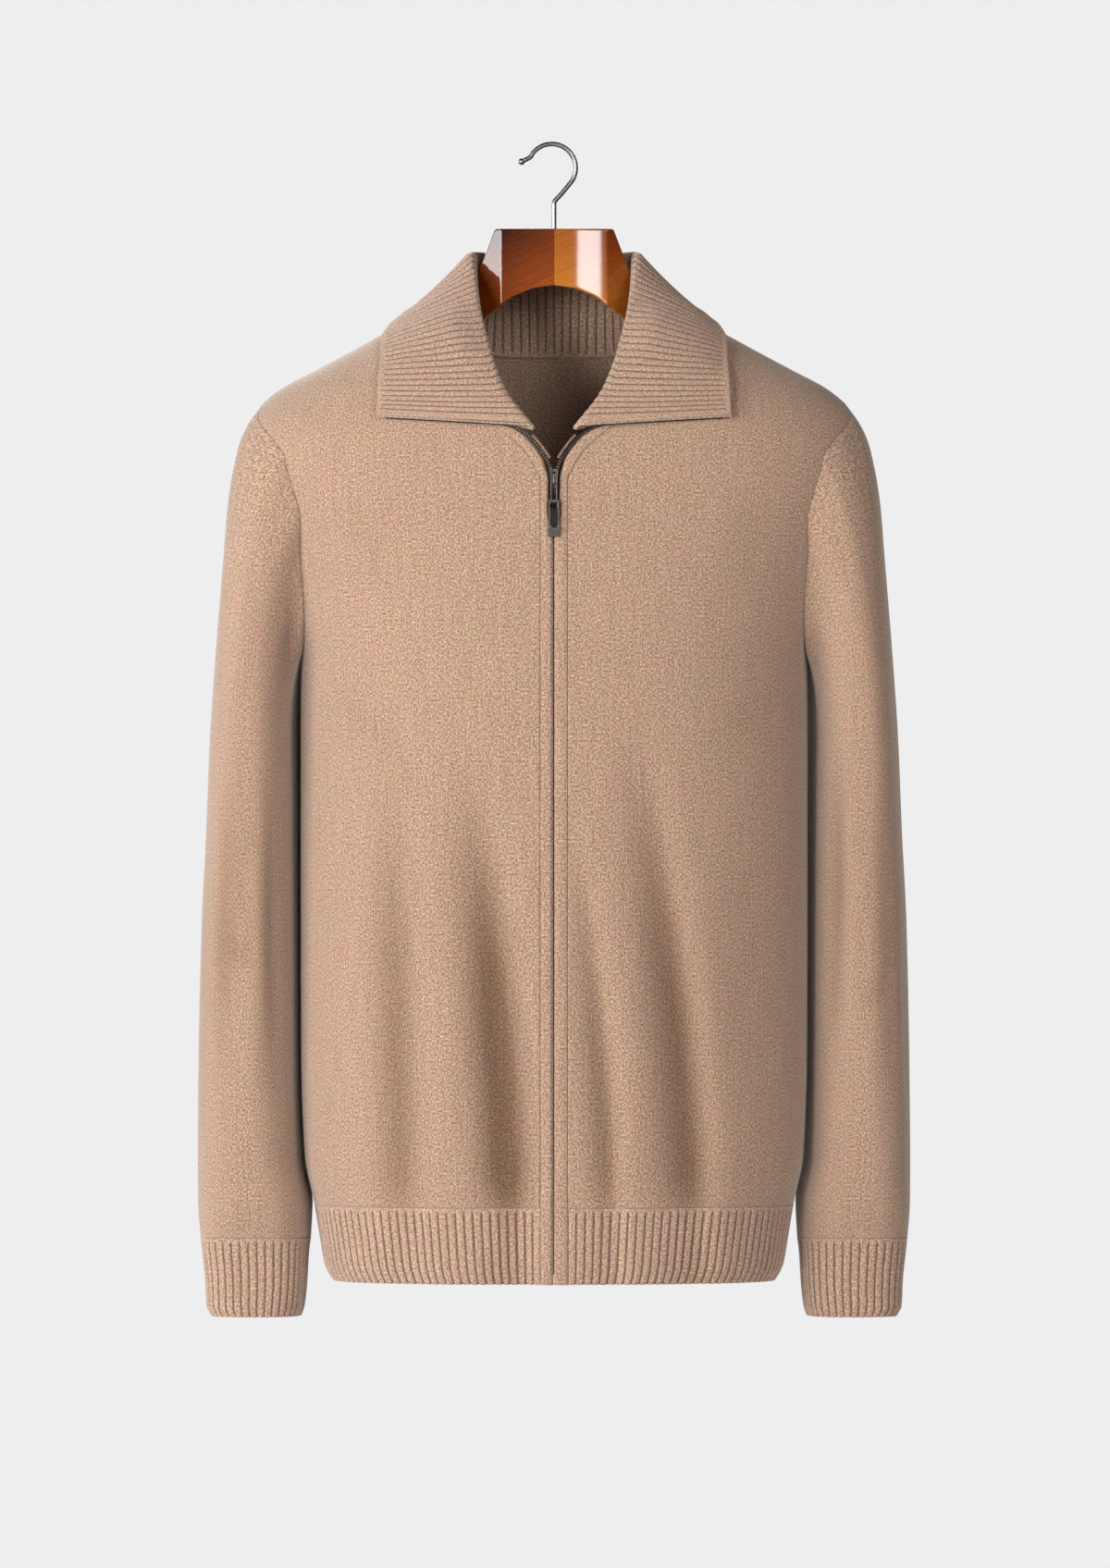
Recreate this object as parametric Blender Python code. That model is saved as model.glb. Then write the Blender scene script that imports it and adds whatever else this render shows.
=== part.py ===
"""Full-zip knitted cardigan with a turned-down funnel collar, hanging on a wooden hanger.

Metres, +Z up. The garment's front faces -Y and the wearer's left is +X. The origin is the inner
crown of the hanger's hook, where a rail carries it. Each knitted piece is a wall of CLOTH, cut from
one hollow form whose level sections are superellipses, and neighbours keep a GAP at their seams.
"""

import math

import bmesh
import bpy
import numpy as np

# Driving sizes
CLOTH = 0.0025  # plain knit, with its fuzz
RIB = 0.0030  # ribbed knit
GAP = 0.0006  # between two pieces at a seam, measured along the surface
SIDE_POWER, DEPTH_POWER = 2.6, 2.2  # how square the body's level sections are
HEM_SEAM, HEM_END = -0.7660, -0.8212
UNDERARM, SHOULDER_TIP, NECK_POINT = -0.3720, -0.1860, -0.1145
NECK_SHARE = 0.40  # of each panel's width that runs up to the neck
SLEEVE_LEVEL, CUFF_SEAM, CUFF_END = -0.4300, -0.7900, -0.8475
BAND_EDGE = 0.0098  # from the centre line to a front panel
FOLD_RADIUS = 0.0042  # of the collar's roll, at the middle of its wall
TEETH_WIDTH, TEETH_DEPTH = 0.0016, 0.0015  # one row of zip teeth
TAPE_THICKNESS, TAPE_WIDTH = 0.0008, 0.0100
FACING_WIDTH = 0.0026  # of the knit strip that shows inside the open zip
SLIDER_TOP, SLIDER_END, SLIDER_HALF = -0.2360, -0.2500, 0.0032
PLATE, THROAT = 0.0009, 0.0022  # a slider plate's thickness, and the room between its plates
PIVOT = -0.2467  # height of the pull tab's crossbar
TAB_END, TAB_HALF, TAB_DEPTH = -0.2849, 0.00435, 0.0012
WIRE = 0.00175  # radius of the hook's wire
HOOK_RADIUS = 0.0174  # of the hook's round part, at the middle of the wire

# How finely the faceted cloth is cut
TURN_STEPS, NECK_STEPS, SHOULDER_STEPS = 5, 5, 5
BODY_ROWS, YOKE_ROWS, HEM_ROWS = 8, 10, 2
SLEEVE_ROWS, CUFF_ROWS = 11, 2


def table(names, rows):
    """Named columns of a short table. The first is the place along it and only rises."""
    rows = sorted(rows)
    return {name: np.array([row[i] for row in rows]) for i, name in enumerate(names.split())}


def along(columns, name, place):
    """A column's value at any place, by a smooth curve that never overshoots its rows."""
    at, value = next(iter(columns.values())), columns[name]
    step = np.diff(at)
    rise = np.diff(value) / step
    slope = np.concatenate([rise[:1], np.zeros(len(rise) - 1), rise[-1:]])
    same = rise[:-1] * rise[1:] > 0
    total = np.where(same, rise[:-1] + rise[1:], 1.0)
    slope[1:-1] = np.where(same, 2 * rise[:-1] * rise[1:] / total, 0.0)
    i = np.clip(np.searchsorted(at, place, side="right") - 1, 0, len(step) - 1)
    t = np.clip((place - at[i]) / step[i], 0, 1)
    start = value[i] * (1 + 2 * t) * (1 - t) ** 2 + step[i] * slope[i] * t * (1 - t) ** 2
    return start + value[i + 1] * t * t * (3 - 2 * t) - step[i] * slope[i + 1] * t * t * (1 - t)


# The body's level sections. Above the underarm the half width is the shoulder roof's, past the armhole.
BODY = table(
    "z half_width front back",
    [
        (-0.8212, 0.1600, 0.0930, 0.0900),
        (-0.8100, 0.1660, 0.0960, 0.0930),
        (-0.7900, 0.1695, 0.0975, 0.0940),
        (-0.7660, 0.1735, 0.0990, 0.0955),
        (-0.7300, 0.1805, 0.1030, 0.0990),
        (-0.6600, 0.1832, 0.1060, 0.1010),
        (-0.5500, 0.1836, 0.1080, 0.1030),
        (-0.4500, 0.1836, 0.1095, 0.1050),
        (-0.3720, 0.1836, 0.1085, 0.1060),
        (-0.3400, 0.1900, 0.1070, 0.1050),
        (-0.3000, 0.2000, 0.1048, 0.1030),
        (-0.2700, 0.2120, 0.1036, 0.1000),
        (-0.2500, 0.2210, 0.1030, 0.0970),
        (-0.2300, 0.2280, 0.1024, 0.0935),
        (-0.2150, 0.2290, 0.1008, 0.0900),
        (-0.2000, 0.2235, 0.0972, 0.0855),
        (-0.1860, 0.2105, 0.0925, 0.0805),
        (-0.1753, 0.1970, 0.0885, 0.0765),
        (-0.1620, 0.1720, 0.0840, 0.0710),
        (-0.1485, 0.1467, 0.0785, 0.0645),
        (-0.1350, 0.1220, 0.0710, 0.0580),
        (-0.1235, 0.1000, 0.0610, 0.0520),
        (-0.1145, 0.0780, 0.0520, 0.0460),
    ],
)
# The armhole's edge, as a share of that half width
ARMHOLE = table(
    "z share",
    [
        (-0.3720, 1.000),
        (-0.3640, 0.982),
        (-0.3400, 0.947),
        (-0.3000, 0.912),
        (-0.2604, 0.852),
        (-0.2289, 0.850),
        (-0.2155, 0.874),
        (-0.2075, 0.920),
        (-0.2001, 0.955),
        (-0.1860, 1.000),
    ],
)
# A front panel's edge against its band: straight up, then turned out where the zip is open
PANEL_EDGE = table(
    "z x",
    [
        (-0.8212, 0.0098),
        (-0.2430, 0.0098),
        (-0.2375, 0.0125),
        (-0.2285, 0.0175),
        (-0.2170, 0.0270),
        (-0.2085, 0.0380),
        (-0.2000, 0.0470),
    ],
)
TURN_LEVELS = np.array([-0.2430, -0.2375, -0.2310, -0.2240, -0.2150, -0.2000])
BAND_TURNS = 4  # how many of those steps the edge bands follow, before they pass below the collar
FRONT_NECK = table(
    "z x",
    [
        (-0.2000, 0.0470),
        (-0.1850, 0.0530),
        (-0.1600, 0.0615),
        (-0.1350, 0.0705),
        (-0.1220, 0.0755),
        (-0.1145, 0.0780),
    ],
)
BACK_NECK = table(
    "x z",
    [
        (0.0000, -0.1505),
        (0.0300, -0.1502),
        (0.0500, -0.1480),
        (0.0640, -0.1390),
        (0.0730, -0.1270),
        (0.0780, -0.1145),
    ],
)
# An edge band's width, square to that edge. It makes room for the slider.
BAND = table(
    "z width",
    [
        (-0.8212, 0.0088),
        (-0.2860, 0.0088),
        (-0.2660, 0.0058),
        (-0.2430, 0.0058),
        (-0.2375, 0.0070),
        (-0.2310, 0.0082),
        (-0.2000, 0.0082),
    ],
)
# The middle of one row of teeth: closed behind the bands, then out below the collar's front edge
ZIP = table(
    "run x z lift",
    [
        (0.000, 0.0012, -0.8190, -0.0042),
        (0.555, 0.0012, -0.2640, -0.0042),
        (0.567, 0.0012, -0.2520, 0.0001),
        (0.576, 0.0014, -0.2440, 0.0003),
        (0.584, 0.0024, -0.2355, 0.0005),
        (0.599, 0.0096, -0.2222, 0.0008),
        (0.617, 0.0222, -0.2095, 0.0014),
        (0.634, 0.0385, -0.2045, 0.0012),
        (0.656, 0.0600, -0.2045, 0.0011),
        (0.718, 0.1225, -0.2010, 0.0012),
    ],
)
OPEN_RUN = 0.555  # past here the teeth rise to the slider and part
FACING_RUN = (0.5905, 0.6100)
# The wooden hanger's section at each distance from its middle
HANGER = table(
    "x top foot half_depth",
    [
        (0.0000, -0.0604, -0.1014, 0.0190),
        (0.0150, -0.0604, -0.1034, 0.0190),
        (0.0300, -0.0604, -0.1096, 0.0190),
        (0.0385, -0.0604, -0.1158, 0.0190),
        (0.0430, -0.0606, -0.1192, 0.0160),
        (0.0495, -0.0775, -0.1244, 0.0118),
        (0.0556, -0.0925, -0.1296, 0.0092),
        (0.0596, -0.1000, -0.1335, 0.0085),
        (0.0680, -0.1140, -0.1425, 0.0085),
        (0.0780, -0.1228, -0.1520, 0.0090),
        (0.0900, -0.1262, -0.1600, 0.0100),
        (0.1220, -0.1400, -0.1770, 0.0130),
        (0.1600, -0.1602, -0.1960, 0.0170),
        (0.1880, -0.1752, -0.2060, 0.0190),
    ],
)
# Long soft troughs that hang down the panels. face -1 is the front, 1 the back.
TROUGHS = [
    {"face": -1, "top": (-0.047, -0.500), "foot": (-0.040, -0.822), "width": 0.016, "depth": 0.0075},
    {"face": -1, "top": (-0.118, -0.430), "foot": (-0.110, -0.790), "width": 0.020, "depth": 0.0040},
    {"face": -1, "top": (0.076, -0.450), "foot": (0.090, -0.780), "width": 0.021, "depth": 0.0060},
    {"face": -1, "top": (0.029, -0.540), "foot": (0.036, -0.822), "width": 0.013, "depth": 0.0050},
    {"face": 1, "top": (0.055, -0.420), "foot": (0.072, -0.822), "width": 0.024, "depth": 0.0070},
    {"face": 1, "top": (-0.020, -0.560), "foot": (-0.034, -0.822), "width": 0.018, "depth": 0.0050},
    {"face": 1, "top": (-0.100, -0.380), "foot": (-0.092, -0.760), "width": 0.022, "depth": 0.0055},
]


def trough_depth(x, z, face):
    """How far the troughs on this face draw the cloth inwards."""
    total = np.zeros(np.broadcast(x, z).shape)
    for fold in TROUGHS:
        if fold["face"] == face:
            (top_x, top_z), (foot_x, foot_z) = fold["top"], fold["foot"]
            run = np.clip((top_z - z) / (top_z - foot_z), 0, 1)
            middle = top_x + (foot_x - top_x) * run
            swell = np.sin(np.pi / 2 * np.clip(run * 1.6, 0, 1)) ** 2
            total = total + fold["depth"] * swell * np.exp(-(((x - middle) / fold["width"]) ** 2))
    return total


def skin(x, z, face):
    """Points of the garment's outer surface at x and height z, on the front (-1) or back (1)."""
    share = np.clip(np.abs(x) / along(BODY, "half_width", z), 0, 1)
    full = (1 - share**SIDE_POWER) ** (1 / DEPTH_POWER)
    reach = along(BODY, "front" if face < 0 else "back", z)
    y = face * full * (reach - trough_depth(x, z, face) * np.clip(full * 1.4, 0, 1))
    return np.stack(np.broadcast_arrays(x, y, z), axis=-1)


def unit(vectors):
    return vectors / np.linalg.norm(vectors, axis=-1, keepdims=True)


def level(points):
    """1 on the smooth form, less inside it and more outside."""
    x, y, z = np.abs(points[..., 0]), points[..., 1], points[..., 2]
    reach = np.where(y < 0, along(BODY, "front", z), along(BODY, "back", z))
    return (x / along(BODY, "half_width", z)) ** SIDE_POWER + (np.abs(y) / reach) ** DEPTH_POWER


def level_slope(points, small=1e-4):
    parts = [level(points + small * axis) - level(points - small * axis) for axis in np.eye(3)]
    slope = np.stack(parts, axis=-1) / (2 * small)
    slope[..., 1] = np.where(np.abs(points[..., 1]) < small, 0, slope[..., 1])
    return slope


def outward(points):
    """Unit normals of the smooth form."""
    return unit(level_slope(points))


def kept_off(points, clearance):
    """Moves points out until they are the clearance away from the smooth form."""
    for _ in range(6):
        slope = level_slope(points)
        size = np.linalg.norm(slope, axis=-1, keepdims=True)
        distance = (level(points)[..., None] - 1) / size
        points = points + slope / size * np.clip(clearance - distance, 0, None)
    return points


def blend(a, b, share):
    return a + (b - a) * share


def on_skin(x, z, lift, face=-1):
    """Points over the skin at x and z, moved out along its normal by lift."""
    points = skin(np.asarray(x, float), np.asarray(z, float), face)
    return points + outward(points) * np.asarray(lift, float)[..., None]


# Solids


def finish(name, colour, roughness, metallic=0.0):
    material = bpy.data.materials.new(name)
    material.use_nodes = True
    shader = material.node_tree.nodes["Principled BSDF"]
    shader.inputs["Base Color"].default_value = (*colour, 1)
    shader.inputs["Roughness"].default_value = roughness
    shader.inputs["Metallic"].default_value = metallic
    return material


def add_object(name, shape, material):
    """Turns a bmesh into a named object with its faces pointing out."""
    bmesh.ops.recalc_face_normals(shape, faces=shape.faces)
    mesh = bpy.data.meshes.new(name)
    shape.to_mesh(mesh)
    shape.free()
    mesh.materials.append(material)
    thing = bpy.data.objects.new(name, mesh)
    bpy.context.scene.collection.objects.link(thing)
    return thing


def eased(points, into, sides, ring=False):
    """Draws a grid's named sides back by half a GAP, square to the wall that faces the next piece."""
    moved = points.copy()
    edges = {
        "first_row": ((0, slice(None)), (1, slice(None))),
        "last_row": ((-1, slice(None)), (-2, slice(None))),
        "first_column": ((slice(None), 0), (slice(None), 1)),
        "last_column": ((slice(None), -1), (slice(None), -2)),
    }
    for side in sides:
        edge, inside = edges[side]
        line = points[edge]
        run = np.roll(line, -1, axis=0) - np.roll(line, 1, axis=0) if ring else np.gradient(line, axis=0)
        away = unit(np.cross(run, into[edge]))
        away = away * np.sign(np.sum(away * (points[inside] - line), axis=-1, keepdims=True))
        moved[edge] += away * GAP / 2
    return moved


def add_wall(name, outer, into, thickness, material, ring=False):
    """A closed wall from a grid of outer points and the unit directions through its thickness."""
    rows, columns = outer.shape[:2]
    shape = bmesh.new()
    layers = [outer, outer + into * thickness]
    sheets = [[[shape.verts.new(p) for p in row] for row in layer] for layer in layers]
    last = columns if ring else columns - 1

    def face(*corners):
        shape.faces.new([sheets[layer][row][column % columns] for layer, row, column in corners])

    for row in range(rows - 1):
        for column in range(last):
            for layer in (0, 1):
                face(
                    (layer, row, column),
                    (layer, row, column + 1),
                    (layer, row + 1, column + 1),
                    (layer, row + 1, column),
                )
    for row in (0, rows - 1):
        for column in range(last):
            face((0, row, column), (0, row, column + 1), (1, row, column + 1), (1, row, column))
    if not ring:
        for column in (0, columns - 1):
            for row in range(rows - 1):
                face((0, row, column), (0, row + 1, column), (1, row + 1, column), (1, row, column))
    bmesh.ops.triangulate(shape, faces=shape.faces)
    return add_object(name, shape, material)


def add_boxes(name, boxes, material):
    """One solid from overlapping boxes, each (low corner, high corner)."""
    made = []
    for low, high in boxes:
        shape = bmesh.new()
        bmesh.ops.create_cube(shape, size=1)
        for vertex in shape.verts:
            place = [blend(a, b, share + 0.5) for a, b, share in zip(low, high, vertex.co)]
            vertex.co = place
        made.append(add_object(name if not made else f"{name}_piece", shape, material))
    for extra in made[1:]:
        extra.hide_render = True
        extra.display_type = "WIRE"
        union = made[0].modifiers.new("join", "BOOLEAN")
        union.operation = "UNION"
        union.object = extra
    return made[0]


# The body: two fronts and a back, in columns that run up to the neck and the shoulder


def panel_lines(face):
    """Columns of a half panel, from the front edge or the centre back out to the side, as x and z.

    The lower rows are level. The upper ones fill the space between the underarm line, the armhole, and
    the neck and shoulder, drawn together at both ends because the form turns fastest there.
    """
    neck_columns = NECK_STEPS + (TURN_STEPS if face < 0 else 0)
    columns = neck_columns + SHOULDER_STEPS
    s = np.concatenate(
        [
            np.linspace(0, NECK_SHARE, neck_columns + 1)[:-1],
            np.linspace(NECK_SHARE, 1, SHOULDER_STEPS + 1),
        ]
    )

    def level_row(z):
        inner = BAND_EDGE if face < 0 else 0.0
        width = along(BODY, "half_width", z)
        flat = np.linspace(inner, width * 0.9, 60)
        turning = width * (1 - 0.1 * np.linspace(1, 0, 60)[1:] ** 3)
        dense = np.concatenate([flat, turning])
        path = skin(dense, np.full(dense.shape, z), face)
        run = np.concatenate([[0], np.cumsum(np.linalg.norm(np.diff(path, axis=0), axis=1))])
        return np.interp(s * run[-1], run, dense)

    lower_z = np.linspace(HEM_SEAM, UNDERARM, BODY_ROWS + 1)
    lower_x = np.array([level_row(z) for z in lower_z])

    v = (1 - np.cos(np.pi * np.linspace(0, 1, YOKE_ROWS + 1)))[:, None] / 2
    side_z = UNDERARM + (SHOULDER_TIP - UNDERARM) * v
    side_x = along(BODY, "half_width", side_z) * along(ARMHOLE, "share", side_z)
    shoulder_z = np.linspace(NECK_POINT, SHOULDER_TIP, SHOULDER_STEPS + 1)
    shoulder_x = along(BODY, "half_width", shoulder_z)
    if face < 0:
        inner_z = UNDERARM + (TURN_LEVELS[0] - UNDERARM) * v
        inner_x = along(PANEL_EDGE, "x", inner_z)
        neck_z = np.linspace(FRONT_NECK["z"][0], NECK_POINT, NECK_STEPS + 1)
        neck_x = np.concatenate([along(PANEL_EDGE, "x", TURN_LEVELS), along(FRONT_NECK, "x", neck_z[1:])])
        neck_z = np.concatenate([TURN_LEVELS, neck_z[1:]])
    else:
        inner_z = UNDERARM + (BACK_NECK["z"][0] - UNDERARM) * v
        inner_x = np.zeros(inner_z.shape)
        neck_x = np.linspace(0, BACK_NECK["x"][-1], NECK_STEPS + 1)
        neck_z = along(BACK_NECK, "z", neck_x)
    top_x = np.concatenate([neck_x[:-1], shoulder_x])
    top_z = np.concatenate([neck_z[:-1], shoulder_z])

    def filled(inner, side, foot, top):
        across = (1 - s) * inner + s * side
        up = (1 - v) * foot + v * top
        corners = (1 - v) * ((1 - s) * foot[0] + s * foot[-1]) + v * ((1 - s) * top[0] + s * top[-1])
        return across + up - corners

    upper_x = filled(inner_x, side_x, lower_x[-1], top_x)
    upper_z = filled(inner_z, side_z, np.full(columns + 1, UNDERARM), top_z)
    x = np.concatenate([lower_x, upper_x[1:]])
    z = np.concatenate([np.repeat(lower_z[:, None], columns + 1, axis=1), upper_z[1:]])
    return x, z


FRONT_X, FRONT_Z = panel_lines(-1)
BACK_X, BACK_Z = panel_lines(1)
FRONT_NECK_COLUMNS = slice(TURN_STEPS, TURN_STEPS + NECK_STEPS + 1)
BACK_NECK_COLUMNS = slice(0, NECK_STEPS + 1)
MIRROR = np.array([-1.0, 1.0, 1.0])


def half_panel(side, face):
    x, z = (FRONT_X, FRONT_Z) if face < 0 else (BACK_X, BACK_Z)
    return skin(side * x, z, face)


def shared(first, second):
    """The direction through two cloths at their seam, halfway between their own."""
    return -unit(first + second)


def ring_normals(points):
    """Outward normals of a closed ring grid, from its neighbours."""
    around = np.roll(points, -1, axis=1) - np.roll(points, 1, axis=1)
    up = np.gradient(points, axis=0)
    normals = unit(np.cross(around, up))
    centre = points.mean(axis=1, keepdims=True)
    return normals * np.sign(np.sum(normals * (points - centre)))


# Sleeves: level sections from the armhole's edge down to the wrist, hung straight


SLEEVE = table(
    "z outer inner half_depth middle",
    [
        (-0.8475, 0.2479, 0.1850, 0.0285, 0.004),
        (-0.8400, 0.2519, 0.1825, 0.0300, 0.004),
        (-0.8200, 0.2528, 0.1805, 0.0310, 0.004),
        (-0.8000, 0.2550, 0.1795, 0.0330, 0.004),
        (-0.7900, 0.2560, 0.1785, 0.0360, 0.004),
        (-0.7650, 0.2578, 0.1780, 0.0430, 0.003),
        (-0.7300, 0.2580, 0.1843, 0.0470, 0.003),
        (-0.6600, 0.2575, 0.1862, 0.0520, 0.002),
        (-0.5639, 0.2553, 0.1868, 0.0580, 0.002),
        (-0.4969, 0.2519, 0.1872, 0.0620, 0.003),
        (-0.4299, 0.2492, 0.1880, 0.0660, 0.004),
        (-0.3629, 0.2446, 0.1890, 0.0700, 0.005),
        (-0.2959, 0.2392, 0.1850, 0.0710, 0.005),
        (-0.2624, 0.2365, 0.1800, 0.0690, 0.004),
        (-0.2423, 0.2338, 0.1750, 0.0660, 0.004),
        (-0.2289, 0.2311, 0.1710, 0.0620, 0.003),
        (-0.2155, 0.2278, 0.1660, 0.0560, 0.002),
        (-0.2021, 0.2218, 0.1600, 0.0480, 0.001),
        (-0.1860, 0.2105, 0.1500, 0.0300, 0.000),
    ],
)
SLEEVE_POWER = 2.3
SLEEVE_TUCK = 0.30  # how far the sections' inner side leans, so that it tucks in behind the body
ARMHOLE_FADE = 2.2  # how fast the sleeve leaves the armhole's own outline


def sleeve_point(angle, z):
    """The sleeve's level section at an angle from its outer edge, round by the front."""
    outer, inner = along(SLEEVE, "outer", z), along(SLEEVE, "inner", z)
    across, deep = np.cos(angle), np.sin(angle)
    x = (outer + inner) / 2 + (outer - inner) / 2 * np.sign(across) * np.abs(across) ** (2 / SLEEVE_POWER)
    reach = along(SLEEVE, "half_depth", z) * np.sign(deep) * np.abs(deep) ** (2 / SLEEVE_POWER)
    x = x + SLEEVE_TUCK * reach * (1 - across) / 2
    return np.stack(np.broadcast_arrays(x, along(SLEEVE, "middle", z) - reach, z), axis=-1)


def armhole_loop():
    """The left armhole: from the shoulder tip down the front edge to the underarm and up the back."""
    front = half_panel(1, -1)[BODY_ROWS:, -1][::-1]
    back = half_panel(1, 1)[BODY_ROWS:, -1]
    return np.concatenate([front, back[1:-1]])


def sleeve_grid():
    loop = armhole_loop()
    angle = np.linspace(0, 2 * np.pi, len(loop), endpoint=False)
    share = np.linspace(0, 1, SLEEVE_ROWS + 1)[:, None]
    share = blend(share, share**1.6, 0.6)
    z = loop[:, 2] + (CUFF_SEAM - loop[:, 2]) * share
    fade = (1 - np.clip((loop[:, 2] - z) / (loop[:, 2] - SLEEVE_LEVEL), 0, 1)) ** ARMHOLE_FADE
    start = loop - sleeve_point(angle, loop[:, 2])
    return sleeve_point(angle, z) + start * fade[..., None]


def cuff_grid():
    angle = np.linspace(0, 2 * np.pi, 2 * YOKE_ROWS, endpoint=False)
    z = np.linspace(CUFF_SEAM, CUFF_END, CUFF_ROWS + 1)[:, None] + 0 * angle
    return sleeve_point(angle, z)


# The collar: up from the neck seam, over a roll, and down outside to its edge. The middle of its
# turned-down wall keeps clear of the body.


COLLAR = table(
    "share roll_x roll_y roll_z middle_x middle_y middle_z edge_x edge_y edge_z clear",
    [
        (0.00, 0.0000, 0.0540, -0.0785, 0.0000, 0.0750, -0.1120, 0.0000, 0.0715, -0.1520, 0.0030),
        (0.20, 0.0320, 0.0490, -0.0780, 0.0440, 0.0680, -0.1115, 0.0500, 0.0700, -0.1510, 0.0036),
        (0.36, 0.0500, 0.0330, -0.0775, 0.0720, 0.0450, -0.1085, 0.0900, 0.0510, -0.1400, 0.0048),
        (0.50, 0.0580, 0.0030, -0.0770, 0.0905, 0.0010, -0.1075, 0.1160, 0.0010, -0.1290, 0.0046),
        (0.62, 0.0570, -0.0180, -0.0935, 0.0905, -0.0230, -0.1125, 0.1205, -0.0190, -0.1315, 0.0036),
        (0.74, 0.0548, -0.0400, -0.1150, 0.0910, -0.0470, -0.1270, 0.1238, -0.0390, -0.1395, 0.0038),
        (0.84, 0.0476, -0.0690, -0.1472, 0.0880, -0.0760, -0.1525, 0.1255, -0.0655, -0.1565, 0.0042),
        (0.92, 0.0362, -0.0900, -0.1780, 0.0810, -0.0925, -0.1790, 0.1265, -0.0835, -0.1785, 0.0042),
        (1.00, 0.0145, -0.1045, -0.2075, 0.0700, -0.1015, -0.2020, 0.1275, -0.0910, -0.1985, 0.0042),
    ],
)
STAND_STEPS, ROLL_STEPS, FALL_STEPS = 2, 4, 4


def neck_line():
    """The neck seam's points from the wearer's right front end round the back, and each one's share."""
    front = half_panel(1, -1)[-1, FRONT_NECK_COLUMNS]
    back = half_panel(1, 1)[-1, BACK_NECK_COLUMNS]
    left = np.concatenate([back, front[::-1][1:]])
    share = np.linspace(0, 1, 2 * NECK_STEPS + 1)
    seam = np.concatenate([left[:0:-1] * MIRROR, left])
    return seam, np.concatenate([-share[:0:-1], share])


def collar_grid():
    """Rows of stations along the neck, each a path from the neck seam over the roll to the edge."""
    seam, share = neck_line()
    side = np.where(share < 0, -1.0, 1.0)[:, None] * [1, 0, 0] + [0, 1, 1]
    place = np.abs(share)
    roll, middle, edge = (
        np.stack([along(COLLAR, f"{name}_{axis}", place) for axis in "xyz"], axis=-1) * side
        for name in ("roll", "middle", "edge")
    )
    rise = unit(roll - seam)
    out = outward(seam)
    out = unit(out - rise * np.sum(out * rise, axis=-1, keepdims=True))
    centre = roll - rise * FOLD_RADIUS
    path = [blend(seam, centre - out * FOLD_RADIUS, i / STAND_STEPS) for i in range(STAND_STEPS)]
    for i in range(ROLL_STEPS + 1):
        turn = math.pi * i / ROLL_STEPS
        path.append(centre + FOLD_RADIUS * (rise * math.sin(turn) - out * math.cos(turn)))
    start = path[-1]
    pull = 2 * middle - (start + edge) / 2
    for i in range(1, FALL_STEPS + 1):
        t = i / FALL_STEPS
        fall = start * (1 - t) ** 2 + pull * 2 * t * (1 - t) + edge * t * t
        path.append(kept_off(fall, along(COLLAR, "clear", place)[:, None]))
    return np.stack(path)


def collar_normals(grid):
    """Normals on the side that starts as the garment's outside."""
    up, around = np.gradient(grid, axis=0), np.gradient(grid, axis=1)
    normals = unit(np.cross(around, up))
    return normals * np.sign(np.sum(normals[0] * outward(grid[0])))


def armhole_inward():
    """Directions through the cloth round the left armhole, from the shoulder tip down the front."""
    loop, normals = armhole_loop(), ring_normals(sleeve_grid())[0]
    normals[[0, YOKE_ROWS], 1] = 0
    return shared(outward(loop), normals)


def half_inward(face):
    """Directions through the left half panel's cloth, which its neighbours share at the seams."""
    inward, armhole = -outward(half_panel(1, face)), armhole_inward()
    if face < 0:
        inward[BODY_ROWS:, -1] = armhole[: YOKE_ROWS + 1][::-1]
    else:
        inward[BODY_ROWS:, -1] = np.concatenate([armhole[YOKE_ROWS:], armhole[:1]])
    return inward


def add_body(cloth):
    sides = ["first_row", "last_row", "first_column", "last_column"]
    for side, name in ((1, "left"), (-1, "right")):
        inward = half_inward(-1) * (1 if side > 0 else MIRROR)
        grid = eased(half_panel(side, -1), inward, sides)
        grid[..., 1] = np.minimum(grid[..., 1], -GAP / 2)
        add_wall(f"front_{name}", grid, inward, CLOTH, cloth)
    left, right, inward = half_panel(1, 1), half_panel(-1, 1), half_inward(1)
    points = np.concatenate([right[:, :0:-1], left], axis=1)
    inward = np.concatenate([inward[:, :0:-1] * MIRROR, inward], axis=1)
    grid = eased(points, inward, sides)
    grid[..., 1] = np.maximum(grid[..., 1], GAP / 2)
    add_wall("back", grid, inward, CLOTH, cloth)


def add_sleeves(cloth, rib):
    grid, cuff = sleeve_grid(), cuff_grid()
    inward, cuff_inward = -ring_normals(grid), -ring_normals(cuff)
    inward[0] = armhole_inward()
    inward[-1] = cuff_inward[0] = unit(inward[-1] + cuff_inward[0])
    sleeve = eased(grid, inward, ["first_row", "last_row"], ring=True)
    cuff = eased(cuff, cuff_inward, ["first_row"], ring=True)
    for flip, name in ((1.0, "left"), (MIRROR, "right")):
        add_wall(f"sleeve_{name}", sleeve * flip, inward * flip, CLOTH, cloth, ring=True)
        add_wall(f"cuff_{name}", cuff * flip, cuff_inward * flip, CLOTH, rib, ring=True)


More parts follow.
